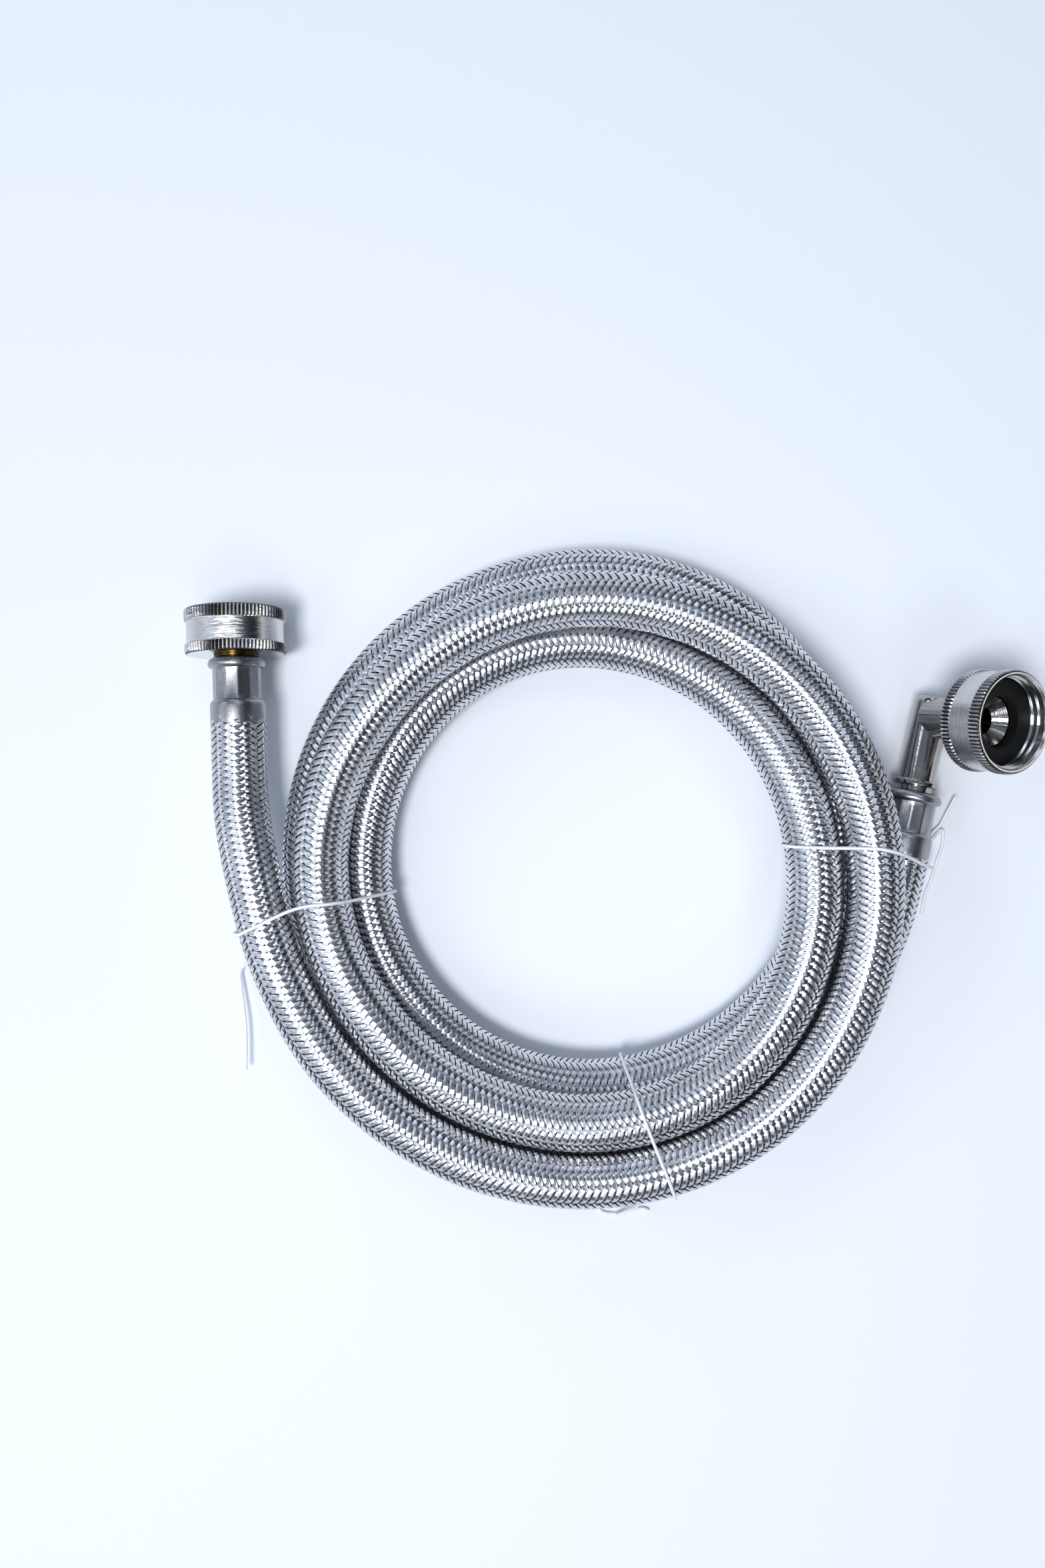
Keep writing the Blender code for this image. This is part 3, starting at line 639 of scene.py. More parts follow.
def flat_bundles(start, end):
    """Strips side by side, one for each bundle: X across them, Y along the hose from start to end."""
    bm = bmesh.new()
    step = BRAID_LEAD / STEPS_PER_LEAD
    count = int(round((end - start) / step))
    bmesh.ops.create_grid(bm, x_segments=FACES_ACROSS_BUNDLE, y_segments=count, size=0.5)
    bmesh.ops.scale(bm, vec=(BUNDLE_WIDTH, end - start, 1.0), verts=bm.verts)
    bmesh.ops.translate(bm, vec=(0.0, (start + end) / 2, 0.0), verts=bm.verts)
    first = list(bm.verts) + list(bm.edges) + list(bm.faces)
    for k in range(1, 2 * BUNDLES_EACH_WAY):
        copy = bmesh.ops.duplicate(bm, geom=first)["geom"]
        moved = [part for part in copy if isinstance(part, bmesh.types.BMVert)]
        bmesh.ops.translate(bm, vec=(k * BUNDLE_SPACING, 0.0, 0.0), verts=moved)
    return bm


def wrap_bundles(mesh):
    """Wraps the flat strips on the hose as a braid, half of them each way round. In a turn a bundle
    crosses each one of the other way twice, and each wave takes it over two of them and under two."""
    count = len(mesh.vertices)
    flat = np.empty(count * 3)
    mesh.vertices.foreach_get("co", flat)
    flat = flat.reshape(-1, 3)
    bundle = np.round(flat[:, 0] / BUNDLE_SPACING)
    across = flat[:, 0] - bundle * BUNDLE_SPACING
    along = flat[:, 1]
    hand = np.where(bundle < BUNDLES_EACH_WAY, 1.0, -1.0)
    number = np.where(bundle < BUNDLES_EACH_WAY, bundle, bundle - BUNDLES_EACH_WAY)
    round_way = 2 * math.pi * BRAID_MIDDLE
    slant = math.atan2(round_way, BRAID_LEAD)
    turn = hand * 2 * math.pi * (number / BUNDLES_EACH_WAY + along / BRAID_LEAD)
    turn = turn + hand * across * math.cos(slant) / BRAID_MIDDLE
    along = along - across * math.sin(slant)
    column = np.sin(WAVES_IN_A_TURN * turn + math.pi / 4)
    wave = hand * np.tanh(WAVE_SQUARENESS * column) / math.tanh(WAVE_SQUARENESS)
    crown = 1 - (2 * across / BUNDLE_WIDTH) ** 2
    radius = BRAID_MIDDLE + BRAID_WAVE * wave + BUNDLE_CROWN * crown
    points = on_hose(turn, along, radius)
    mesh.vertices.foreach_set("co", points.ravel())
    corner = np.empty(len(mesh.loops), dtype=np.int64)
    mesh.loops.foreach_get("vertex_index", corner)
    place = np.column_stack([across / BUNDLE_WIDTH + 0.5, flat[:, 1]])[corner]
    uv = mesh.uv_layers.new(name="bundle")
    uv.data.foreach_set("uv", place.ravel())
    mesh.update()


def braid_piece(index, material):
    """One stretch of the braid. Its bundles start and end where its neighbours' do."""
    step = BRAID_LEAD / STEPS_PER_LEAD
    whole = HOSE_LENGTH + 2 * BRAID_TUCK
    share = round(whole / BRAID_PIECES / step) * step
    start = -BRAID_TUCK + index * share
    end = -BRAID_TUCK + (index + 1) * share
    bm = flat_bundles(start, end)
    mesh = bpy.data.meshes.new(f"braid_turns_{index + 1}")
    bm.to_mesh(mesh)
    bm.free()
    wrap_bundles(mesh)
    mesh.materials.append(material)
    return finished(f"braid_turns_{index + 1}", mesh, "hose", smooth_angle=None)


def braid_core(material):
    """The closed tube under the bundles, which is the hose's own line from ferrule to ferrule.
    A disc is extruded one unit for each ring, and the discs left inside are deleted."""
    bm = bmesh.new()
    rings = int(HOSE_LENGTH / CORE_RING_SPACING)
    bmesh.ops.create_circle(bm, cap_ends=True, segments=CORE_SIDES, radius=1.0)
    disc = bm.faces[:]
    for ring in range(rings):
        made = bmesh.ops.extrude_face_region(bm, geom=disc)["geom"]
        moved = [part for part in made if isinstance(part, bmesh.types.BMVert)]
        bmesh.ops.translate(bm, vec=(0.0, 0.0, 1.0), verts=moved)
        disc = [part for part in made if isinstance(part, bmesh.types.BMFace)]
    discs = [face for face in bm.faces if len(face.verts) == CORE_SIDES]
    inside = [face for face in discs if 0.5 < face.calc_center_median().z < rings - 0.5]
    bmesh.ops.delete(bm, geom=inside, context="FACES_ONLY")
    mesh = bpy.data.meshes.new("braid_core")
    bmesh.ops.recalc_face_normals(bm, faces=bm.faces)
    bm.to_mesh(mesh)
    bm.free()
    flat = np.empty(len(mesh.vertices) * 3)
    mesh.vertices.foreach_get("co", flat)
    flat = flat.reshape(-1, 3)
    turn = np.arctan2(flat[:, 1], flat[:, 0])
    along = flat[:, 2] / rings * HOSE_LENGTH
    mesh.vertices.foreach_set("co", on_hose(turn, along, np.full(len(flat), CORE_RADIUS)).ravel())
    mesh.update()
    mesh.materials.append(material)
    return finished("braid_core", mesh, "hose", ["braid_sleeve"], smooth_angle=40)


# Ferrules

FERRULE_WALL = 0.6
FERRULE_MOUTH_RADIUS = 8.15
FERRULE_CRIMP_RADIUS = 7.1
FERRULE_BEAD_RADIUS = 8.45
FERRULE_SHOULDER = 5.1
FERRULE_STEP = 7.2
FERRULE_BEAD_START = 16.6
FERRULE_LENGTH = 19.8
FERRULE_CROWN_RADIUS = 6.7
FERRULE_EYE_RADIUS = 5.3
BARREL_RUN_IN = 1.6
CRIMP_FLATS = 12
CRIMP_DEPTH = 1.45
CRIMP_FADE = 1.2
CRIMP_OVERLAP = 0.1
STEPS_PER_FLAT = 8

# How far the shoulder and the bead fall from their radius, with the height of each point
SHOULDER_FALL = [(0.0, 0.0), (0.04, 0.5), (0.14, 1.0), (0.32, 1.45), (0.58, 1.8), (0.86, 2.0)]
BEAD_FALL = [
    (0.62, 0.12), (0.3, 0.35), (0.08, 0.75), (0.0, 1.2), (0.06, 1.65), (0.26, 2.15), (0.62, 2.6), (1.15, 2.95)
]


def press_flats(bm):
    """Presses a ferrule's barrel between twelve jaws, with full depth a little way in from its ends."""
    half = math.pi / CRIMP_FLATS
    for vertex in bm.verts:
        radius = math.hypot(vertex.co.x, vertex.co.y)
        into = CRIMP_OVERLAP + min(vertex.co.z - FERRULE_STEP, FERRULE_BEAD_START - vertex.co.z)
        if into > 0 and radius < FERRULE_CRIMP_RADIUS + 2 * CRIMP_OVERLAP:
            turn = math.atan2(vertex.co.y, vertex.co.x)
            away = (turn + half) % (2 * half) - half
            pressed = math.cos(half) / math.cos(away)
            factor = 1 - min(1.0, into / CRIMP_FADE) * (1 - pressed) * CRIMP_DEPTH
            vertex.co.x *= factor
            vertex.co.y *= factor


def ferrule(name, material, origin, direction):
    """A drawn cup with its mouth over the braid, twelve jaw flats, and a domed bead at the eye."""
    shoulder = [(FERRULE_MOUTH_RADIUS - fall, FERRULE_SHOULDER + rise) for fall, rise in SHOULDER_FALL]
    bead = [(FERRULE_BEAD_RADIUS - fall, FERRULE_BEAD_START + rise) for fall, rise in BEAD_FALL]
    heights = (FERRULE_STEP + BARREL_RUN_IN, FERRULE_BEAD_START - BARREL_RUN_IN)
    barrel = [(FERRULE_CRIMP_RADIUS, height) for height in heights]
    mouth = [(FERRULE_MOUTH_RADIUS - FERRULE_WALL, 0.0), (FERRULE_MOUTH_RADIUS, 0.0)]
    outer = mouth + shoulder + [(FERRULE_CRIMP_RADIUS, FERRULE_STEP)] + barrel
    outer += [(FERRULE_CRIMP_RADIUS, FERRULE_BEAD_START)] + bead
    radii = [0, 0.28] + [0] * len(shoulder) + [0.3] + [0, 0] + [0.12] + [0] * len(bead)
    outer += [
        (FERRULE_CROWN_RADIUS, FERRULE_LENGTH),
        (FERRULE_EYE_RADIUS, FERRULE_LENGTH),
        (FERRULE_EYE_RADIUS, FERRULE_LENGTH - FERRULE_WALL),
        (FERRULE_CRIMP_RADIUS - FERRULE_WALL, FERRULE_LENGTH - FERRULE_WALL),
        (FERRULE_CRIMP_RADIUS - FERRULE_WALL, FERRULE_STEP),
        (FERRULE_MOUTH_RADIUS - FERRULE_WALL, FERRULE_SHOULDER),
    ]
    radii += [0.2, 0.15, 0, 0, 0, 0]
    bm = lathed(rounded(outer, radii), STEPS_PER_FLAT * CRIMP_FLATS)
    press_flats(bm)
    mesh = set_in_place(bm, name, origin, direction)
    mesh.materials.append(material)
    return finished(name, mesh, "hose", [name.replace("_shell", "")], 28)


# Tailpiece and elbow

STRAIGHT_COLLAR_RADIUS = 6.7
STRAIGHT_COLLAR_THICKNESS = 0.3
COLLAR_BACK = FERRULE_LENGTH + CLEARANCE
STRAIGHT_NUT_BACK = COLLAR_BACK + STRAIGHT_COLLAR_THICKNESS + CLEARANCE
TAILPIECE_NECK_RADIUS = 6.0
GROOVE_RADIUS = 4.9
GROOVE_BACK = FERRULE_LENGTH - 0.9
SHANK_START = 2.5
SHANK_RADIUS = 4.05
SHANK_BORE_RADIUS = 3.0
FLANGE_RADIUS = 11.4
FLANGE_BACK = 2.9
FLANGE_FRONT = 5.1
FUNNEL_MOUTH_RADIUS = 7.2
FUNNEL_THROAT_RADIUS = 4.1
FUNNEL_DEPTH = 3.1
FUNNEL_TAPER = 1.5

ELBOW_COLLAR_RADIUS = 6.9
ELBOW_COLLAR_BACK = FERRULE_LENGTH + 1.7
ELBOW_COLLAR_THICKNESS = 1.5
LEG_RADIUS = 5.35
LEG_LENGTH = 19.8
LEG_OVERRUN = 6.3
LEG_ROUNDING = 2.2
LEG_BORE_OVERRUN = 1.0
CUT_OVERRUN = 0.6
NOZZLE_RADIUS = 6.2
NOZZLE_BACK = 0.8
NOZZLE_ROUNDING = 0.8
NOZZLE_MITRE = 0.7
NOZZLE_ELEVATION = math.radians(63)
NOZZLE_NUT_BACK = 17.5


def tailpiece(material, origin, direction):
    """The straight end's brass: barbed shank, collar, neck and the funnelled flange in the nut."""
    back = STRAIGHT_NUT_BACK
    collar_front = COLLAR_BACK + STRAIGHT_COLLAR_THICKNESS
    profile = [
        (SHANK_BORE_RADIUS, SHANK_START),
        (SHANK_RADIUS, SHANK_START),
        (SHANK_RADIUS, GROOVE_BACK),
        (GROOVE_RADIUS, GROOVE_BACK),
        (GROOVE_RADIUS, COLLAR_BACK),
        (STRAIGHT_COLLAR_RADIUS, COLLAR_BACK),
        (STRAIGHT_COLLAR_RADIUS, collar_front),
        (TAILPIECE_NECK_RADIUS, collar_front),
        (TAILPIECE_NECK_RADIUS, back + FLANGE_BACK),
        (FLANGE_RADIUS, back + FLANGE_BACK),
        (FLANGE_RADIUS, back + FLANGE_FRONT),
        (FUNNEL_MOUTH_RADIUS, back + FLANGE_FRONT),
        (FUNNEL_THROAT_RADIUS, back + FLANGE_FRONT - FUNNEL_DEPTH),
        (SHANK_BORE_RADIUS, back + FLANGE_FRONT - FUNNEL_DEPTH - FUNNEL_TAPER),
    ]
    radii = [0, 0.3, 0, 0, 0, 0.1, 0.1, 0, 0, 0.2, 0.2, 0.4, 0.5, 0.4]
    bm = lathed(rounded(profile, radii, points=3), TURNED_SIDES)
    mesh = set_in_place(bm, "brass_tailpiece", origin, direction)
    mesh.materials.append(material)
    return finished("brass_tailpiece", mesh, "hose", ["straight_tailpiece"])


def helper(name, bm, origin, direction):
    """A hidden shape for a Boolean, in metres at its place."""
    mesh = set_in_place(bm, name, origin, direction)
    made = bpy.data.objects.new(name, mesh)
    bpy.context.scene.collection.objects.link(made)
    return made


def applied(target, steps):
    """The target's mesh after Boolean steps with helpers, which are then removed."""
    for operation, tool in steps:
        modifier = target.modifiers.new(operation.title(), "BOOLEAN")
        modifier.operation = operation
        modifier.solver = "EXACT"
        modifier.object = tool
    shown = bpy.context.evaluated_depsgraph_get()
    mesh = bpy.data.meshes.new_from_object(target.evaluated_get(shown))
    for used in [target] + [tool for operation, tool in steps]:
        bpy.data.objects.remove(used, do_unlink=True)
    return mesh


def mitre(bm, hose_way):
    """Cuts the nozzle's back end off at 45 degrees on the side that the hose comes from."""
    geometry = bm.verts[:] + bm.edges[:] + bm.faces[:]
    way = hose_way + Vector((0.0, 0.0, 1.0))
    cut = bmesh.ops.bisect_plane(
        bm, geom=geometry, plane_co=hose_way * -NOZZLE_MITRE, plane_no=way.normalized(), clear_inner=True
    )
    rim = [part for part in cut["geom_cut"] if isinstance(part, bmesh.types.BMEdge)]
    bmesh.ops.edgeloop_fill(bm, edges=rim)


def elbow(material, origin, direction, corner, nozzle_way):
    """A forged elbow: the leg runs on to a rounded heel, and a stouter nozzle is mitred onto it."""
    collar_front = ELBOW_COLLAR_BACK + ELBOW_COLLAR_THICKNESS
    leg_end = collar_front + LEG_LENGTH + LEG_OVERRUN
    leg = rounded(
        [
            (0.0, SHANK_START),
            (SHANK_RADIUS, SHANK_START),
            (SHANK_RADIUS, GROOVE_BACK),
            (GROOVE_RADIUS, GROOVE_BACK),
            (GROOVE_RADIUS, ELBOW_COLLAR_BACK),
            (ELBOW_COLLAR_RADIUS, ELBOW_COLLAR_BACK),
            (ELBOW_COLLAR_RADIUS, collar_front),
            (LEG_RADIUS, collar_front),
            (LEG_RADIUS, leg_end),
            (0.0, leg_end),
        ],
        [0, 0.3, 0, 0, 0.2, 0.35, 0.45, 0.5, LEG_ROUNDING, 0],
        closed=False,
        points=8,
    )
    back = NOZZLE_NUT_BACK
    outside = rounded(
        [
            (0.0, NOZZLE_BACK),
            (NOZZLE_RADIUS, NOZZLE_BACK),
            (NOZZLE_RADIUS, back + FLANGE_BACK),
            (FLANGE_RADIUS, back + FLANGE_BACK),
            (FLANGE_RADIUS, back + FLANGE_FRONT),
            (0.0, back + FLANGE_FRONT),
        ],
        [0, NOZZLE_ROUNDING, 0.2, 0.2, 0.2, 0],
        closed=False,
        points=8,
    )
    bore = [
        (0.0, 0.0),
        (FUNNEL_THROAT_RADIUS, 0.0),
        (FUNNEL_THROAT_RADIUS, back + FLANGE_FRONT - FUNNEL_DEPTH),
        (FUNNEL_MOUTH_RADIUS, back + FLANGE_FRONT),
        (FUNNEL_MOUTH_RADIUS + CUT_OVERRUN, back + FLANGE_FRONT + CUT_OVERRUN),
        (0.0, back + FLANGE_FRONT + CUT_OVERRUN),
    ]
    bore_end = collar_front + LEG_LENGTH + LEG_BORE_OVERRUN
    leg_bore = [
        (0.0, SHANK_START - LEG_BORE_OVERRUN),
        (SHANK_BORE_RADIUS, SHANK_START - LEG_BORE_OVERRUN),
        (SHANK_BORE_RADIUS, bore_end),
        (0.0, bore_end),
    ]
    body = helper("elbow_leg", lathed(leg, TURNED_SIDES, closed=False), origin, direction)
    nozzle_shape = lathed(outside, TURNED_SIDES, closed=False)
    mitre(nozzle_shape, nozzle_way.to_track_quat("Z", "Y").to_matrix().inverted() @ direction)
    nozzle = helper("elbow_nozzle", nozzle_shape, corner, nozzle_way)
    funnel = helper("elbow_funnel", lathed(bore, TURNED_SIDES, closed=False), corner, nozzle_way)
    waterway = helper("elbow_waterway", lathed(leg_bore, TURNED_SIDES // 2, closed=False), origin, direction)
    mesh = applied(body, [("UNION", nozzle), ("DIFFERENCE", funnel), ("DIFFERENCE", waterway)])
    mesh.name = "plated_elbow"
    mesh.materials.clear()
    mesh.materials.append(material)
    return finished("plated_elbow", mesh, "hose", ["elbow_body"])


# Coupling nuts

NUT_THREAD_RADIUS = 13.0
NUT_WALL = 1.35
NUT_KNURL_HEIGHT = 0.5
NUT_BAND_RADIUS = NUT_THREAD_RADIUS + NUT_WALL
NUT_CREST_RADIUS = NUT_BAND_RADIUS + NUT_KNURL_HEIGHT
NUT_ROOT_RADIUS = 13.2
NUT_MOUTH_RADIUS = 13.65
NUT_LENGTH = 13.5
NUT_REAR_KNURL = 3.1
NUT_FRONT_KNURL = 3.7
NUT_BAND_WIDTH = NUT_LENGTH - NUT_FRONT_KNURL - NUT_REAR_KNURL
NUT_BAND_MIDDLE = (NUT_REAR_KNURL + NUT_LENGTH - NUT_FRONT_KNURL) / 2
NUT_EYE_RADIUS = 6.6
NUT_BACK_WALL = 2.6
NUT_TEETH = 82
STEPS_PER_TOOTH = 4
CREST_HALF_WIDTH = 0.2
GROOVE_HALF_WIDTH = 0.01
GROOVE_DEPTH = 0.05
KNURL_FOOT = 0.1
KNURL_SLOPE = 0.25
# Painted shade in the knurl's grooves: the radii over which it fades out towards the crests
GROOVE_SHADE_INNER_RADIUS = NUT_BAND_RADIUS - 0.35
GROOVE_SHADE_OUTER_RADIUS = NUT_CREST_RADIUS + 0.15
THREAD_PITCH = 2.2
THREAD_TURNS = 2.6
THREAD_ROOTING = 0.15
THREAD_HEIGHT = 0.35
THREAD_TIP_HALF_WIDTH = 0.18
THREAD_ROOT_HALF_WIDTH = 0.75
THREAD_SET_BACK = 1.3
STEPS_PER_THREAD_TURN = 64


def knurl_height(turn):
    """How far the knurl stands at an angle: 0 in a groove, 1 on a thin crest, and a half between."""
    part = (turn / (2 * math.pi) * NUT_TEETH) % 1.0
    if abs(part - 0.5) < CREST_HALF_WIDTH:
        return 1.0
    return 0.5 if GROOVE_HALF_WIDTH < part < 1 - GROOVE_HALF_WIDTH else 0.0


def coupling_nut(name, material, node, body, origin, direction):
    """A knurled nut turned from bar: a knurl at each end, a turned band, a chamfered mouth. The teeth
    are the crests of a plain ring, with the points between them let down into grooves."""
    front = NUT_LENGTH
    crest = NUT_CREST_RADIUS
    band = NUT_BAND_RADIUS
    profile = [
        (NUT_EYE_RADIUS, 0.0),
        (crest - 0.75, 0.0),
        (crest - 0.3, 0.18),
        (crest, 0.5),
        (crest, NUT_REAR_KNURL - KNURL_SLOPE),
        (band, NUT_REAR_KNURL + KNURL_FOOT),
        (band - 0.02, NUT_BAND_MIDDLE),
        (band, front - NUT_FRONT_KNURL - KNURL_FOOT),
        (crest, front - NUT_FRONT_KNURL + KNURL_SLOPE),
        (crest, front - 0.55),
        (crest - 0.3, front - 0.2),
        (crest - 0.65, front),
        (NUT_MOUTH_RADIUS, front),
        (NUT_ROOT_RADIUS, front - 0.75),
        (NUT_ROOT_RADIUS, NUT_BACK_WALL + 0.2),
        (NUT_ROOT_RADIUS - 0.2, NUT_BACK_WALL),
        (NUT_EYE_RADIUS + 0.15, NUT_BACK_WALL),
        (NUT_EYE_RADIUS, NUT_BACK_WALL - 0.15),
    ]
    bm = lathed(profile, NUT_TEETH * STEPS_PER_TOOTH)
    for vertex in bm.verts:
        radius = math.hypot(vertex.co.x, vertex.co.y)
        if radius > band + GROOVE_DEPTH:
            turn = math.atan2(vertex.co.y, vertex.co.x) % (2 * math.pi)
            wanted = band - GROOVE_DEPTH + (radius - band + GROOVE_DEPTH) * knurl_height(turn)
            vertex.co.x *= wanted / radius
            vertex.co.y *= wanted / radius
    add_thread(bm)
    mesh = set_in_place(bm, name, origin, direction)
    mesh.materials.append(material)
    return finished(name, mesh, body, [node], 24)


def add_thread(bm):
    """A ridge wound along the bore, with closed ends, rooted a little inside the wall."""
    root = NUT_ROOT_RADIUS + THREAD_ROOTING
    tip = NUT_THREAD_RADIUS - THREAD_HEIGHT
    start = NUT_LENGTH - THREAD_SET_BACK - THREAD_PITCH * THREAD_TURNS
    section = [
        (root, -THREAD_ROOT_HALF_WIDTH),
        (tip, -THREAD_TIP_HALF_WIDTH),
        (tip, THREAD_TIP_HALF_WIDTH),
        (root, THREAD_ROOT_HALF_WIDTH),
    ]
    corners = [bm.verts.new((radius, 0.0, start + height)) for radius, height in section]
    end = bm.faces.new(corners)
    steps = int(STEPS_PER_THREAD_TURN * THREAD_TURNS)
    rise = THREAD_PITCH * THREAD_TURNS / steps
    bmesh.ops.spin(
        bm,
        geom=[end],
        cent=(0.0, 0.0, 0.0),
        axis=(0.0, 0.0, 1.0),
        dvec=(0.0, 0.0, rise),
        angle=2 * math.pi * THREAD_TURNS,
        steps=steps,
        use_merge=False,
    )


# Washers

WASHER_RADIUS = 12.4
WASHER_BORE_RADIUS = 7.5
WASHER_THICKNESS = 3.2


def washer(name, material, node, origin, direction, nut_back):
    """A moulded rubber ring with soft edges."""
    back = nut_back + FLANGE_FRONT + CLEARANCE
    front = back + WASHER_THICKNESS
    profile = [
        (WASHER_BORE_RADIUS, back),
        (WASHER_RADIUS, back),
        (WASHER_RADIUS, front),
        (WASHER_BORE_RADIUS, front),
    ]
    bm = lathed(rounded(profile, [0.2, 0.3, 0.45, 0.4], points=5), TURNED_SIDES)
    mesh = set_in_place(bm, name, origin, direction)
    mesh.materials.append(material)
    return finished(name, mesh, "hose", [node], 60)


# Wire ties

TIE_RADIUS = 0.5
TWIST_RADIUS = 0.65
TWIST_TURNS = 1.5
TWIST_STEPS = 6
HULL_STEPS = 32
TIE_GAP = 0.1
BEND_START = 1.0
BEND_LENGTH = 23.0
BEND_POWER = 1.3
BUNDLE_REACH = 6 * HOSE_RADIUS
FOOT_HEIGHT = 4.0
WIRE_SPACING = 0.45

# Each tie: the middle of its loop, the way its plane faces outwards in degrees, how far its wire
# swerves out of that plane, where its twist ends, and the points of its two loose ends
TIES = {
    "left": {
        "centre": (-79.0, -9.9), "plane": 186.0, "swerve": 6.9, "twist": (-105.5, -30.2, 1.0),
        "ends": [
            [(-107.6, -32.5, 1.6), (-108.2, -34.6, 2.2), (-107.8, -37.7, 2.8), (-107.0, -43.0, 3.6),
             (-106.1, -49.2, 4.2), (-105.8, -55.5, 4.6), (-105.8, -63.9, 4.8)],
            [(-107.2, -28.6, 1.6), (-107.6, -26.4, 1.2)],
        ],
    },
    "bottom": {
        "centre": (17.1, -76.5), "plane": 291.8, "swerve": 0.0, "twist": (17.5, -105.2, 1.0),
        "ends": [
            [(11.0, -105.0, 0.8), (5.2, -105.8, 0.8), (3.6, -107.6, 0.8), (4.3, -109.0, 0.8),
             (7.9, -110.0, 0.8), (13.5, -109.4, 0.9), (18.3, -108.4, 1.0), (19.4, -109.0, 1.0)],
            [(15.6, -107.1, 2.2), (13.5, -107.9, 2.8), (9.1, -109.8, 2.9)],
        ],
    },
    "right": {
        "centre": (79.0, 6.6), "plane": 0.0, "swerve": -6.7, "twist": (108.7, 9.3, 1.2),
        "ends": [
            [(109.8, 11.2, 2.0), (112.2, 16.0, 3.0), (114.3, 20.6, 4.0)],
            [(111.2, 10.4, 1.2), (111.5, 6.1, 0.9), (109.9, 0.9, 0.7), (107.9, -5.4, 0.7),
             (106.0, -10.6, 0.7), (105.0, -16.2, 0.7)],
        ],
    },
}


def strayed(along, swerve):
    """How far sideways a tie's wire has gone from its plane at a distance out from its middle."""
    part = min(max((along - BEND_START) / BEND_LENGTH, 0.0), 1.0)
    return swerve * part**BEND_POWER


def route_crossings(route, point, outward, normal, swerve):
    """Where the route crosses a tie's upright sheet, with the direction that it crosses it in."""
    found = []
    for first, second in zip(route, route[1:]):
        before = (first - point).dot(normal) - strayed((first - point).dot(outward), swerve)
        after = (second - point).dot(normal) - strayed((second - point).dot(outward), swerve)
        if before * after < 0:
            crossing = first.lerp(second, before / (before - after))
            found.append((crossing, (second - first).normalized()))
    return found


def convex_outline(points):
    """The convex hull of points in a plane, anticlockwise."""
    points = sorted(set(points))

    def half(ordered):
        chain = []
        for x, y in ordered:
            while len(chain) > 1:
                (ax, ay), (bx, by) = chain[-2:]
                if (bx - ax) * (y - ay) - (by - ay) * (x - ax) > 0:
                    break
                chain.pop()
            chain.append((x, y))
        return chain[:-1]

    return half(points) + half(points[::-1])


def tie_loop(route, centre, outward, swerve):
    """The wire's way round the bundle in an upright sheet, from its foot on the outer side and back."""
    normal = Vector((-outward.y, outward.x, 0.0))
    reach = HOSE_RADIUS + TIE_GAP + TIE_RADIUS
    samples = []
    for crossing, direction in route_crossings(route, centre, outward, normal, swerve):
        along = (crossing - centre).dot(outward)
        if abs(along) > BUNDLE_REACH:
            continue
        stretch = 1 / abs(direction.dot(normal))
        for k in range(HULL_STEPS):
            turn = 2 * math.pi * k / HULL_STEPS
            samples.append((round(along + reach * stretch * math.cos(turn), 3),
                            round(crossing.z + reach * math.sin(turn), 3)))
    outline = convex_outline(samples)
    low = [i for i, (along, height) in enumerate(outline) if height < FOOT_HEIGHT]
    foot = max(low, key=lambda i: outline[i][0])
    outline = outline[foot:] + outline[:foot] + [outline[foot]]
    loop = []
    for i, (along, height) in enumerate(outline):
        shift = TWIST_RADIUS * (2 * i / (len(outline) - 1) - 1) + strayed(along, swerve)
        loop.append(centre + outward * along + normal * shift + Vector((0.0, 0.0, height)))
    return loop


def tie_points(tie):
    """Points along a tie's wire, from one loose end to the other."""
    centre = COIL_CENTRE + Vector((*tie["centre"], 0.0))
    angle = math.radians(tie["plane"])
    outward = Vector((math.cos(angle), math.sin(angle), 0.0))
    route = [Vector(point) for point in HOSE_LINE]
    loop = tie_loop(route, centre, outward, tie["swerve"])
    twist_start = (loop[0] + loop[-1]) / 2
    twist_end = COIL_CENTRE + Vector(tie["twist"])
    axis = (twist_end - twist_start).normalized()
    across = (loop[0] - twist_start).normalized()
    across = (across - across.dot(axis) * axis).normalized()
    upward = axis.cross(across)
    strands = []
    for side in (1, -1):
        strand = []
        for k in range(1, TWIST_STEPS + 1):
            part = k / TWIST_STEPS
            turn = 2 * math.pi * TWIST_TURNS * part
            swing = TWIST_RADIUS * side * (math.cos(turn) * across + math.sin(turn) * upward)
            lift = Vector((0.0, 0.0, TWIST_RADIUS * min(1.0, 2 * part)))
            strand.append(twist_start.lerp(twist_end, part) + swing + lift)
        strands.append(strand)
    ends = [[COIL_CENTRE + Vector(point) for point in end] for end in tie["ends"]]
    return ends[0][::-1] + strands[0][::-1] + loop + strands[1] + ends[1]


def wire_tie(side, material):
    """One tie: a soft wire swept along its points, cut off flat at both ends."""
    points = tie_points(TIES[side])
    first = (points[1] - points[0]).normalized()
    last = (points[-1] - points[-2]).normalized()
    line = smooth_line(points, first, last, WIRE_SPACING)
    curve = bpy.data.curves.new(f"wire_tie_{side}", "CURVE")
    curve.dimensions = "3D"
    curve.bevel_depth = TIE_RADIUS * MM
    curve.bevel_resolution = 2
    curve.use_fill_caps = True
    spline = curve.splines.new("POLY")
    spline.points.add(len(line) - 1)
    for point, place in zip(spline.points, line):
        point.co = (*(place * MM), 1.0)
    holder = bpy.data.objects.new(f"wire_tie_{side}_line", curve)
    bpy.context.scene.collection.objects.link(holder)
    shown = bpy.context.evaluated_depsgraph_get()
    mesh = bpy.data.meshes.new_from_object(holder.evaluated_get(shown))
    bpy.data.objects.remove(holder, do_unlink=True)
    mesh.materials.clear()
    mesh.materials.append(material)
    return finished(f"wire_tie_{side}", mesh, "hose", [f"twist_tie_{side}"], 50)


# Building


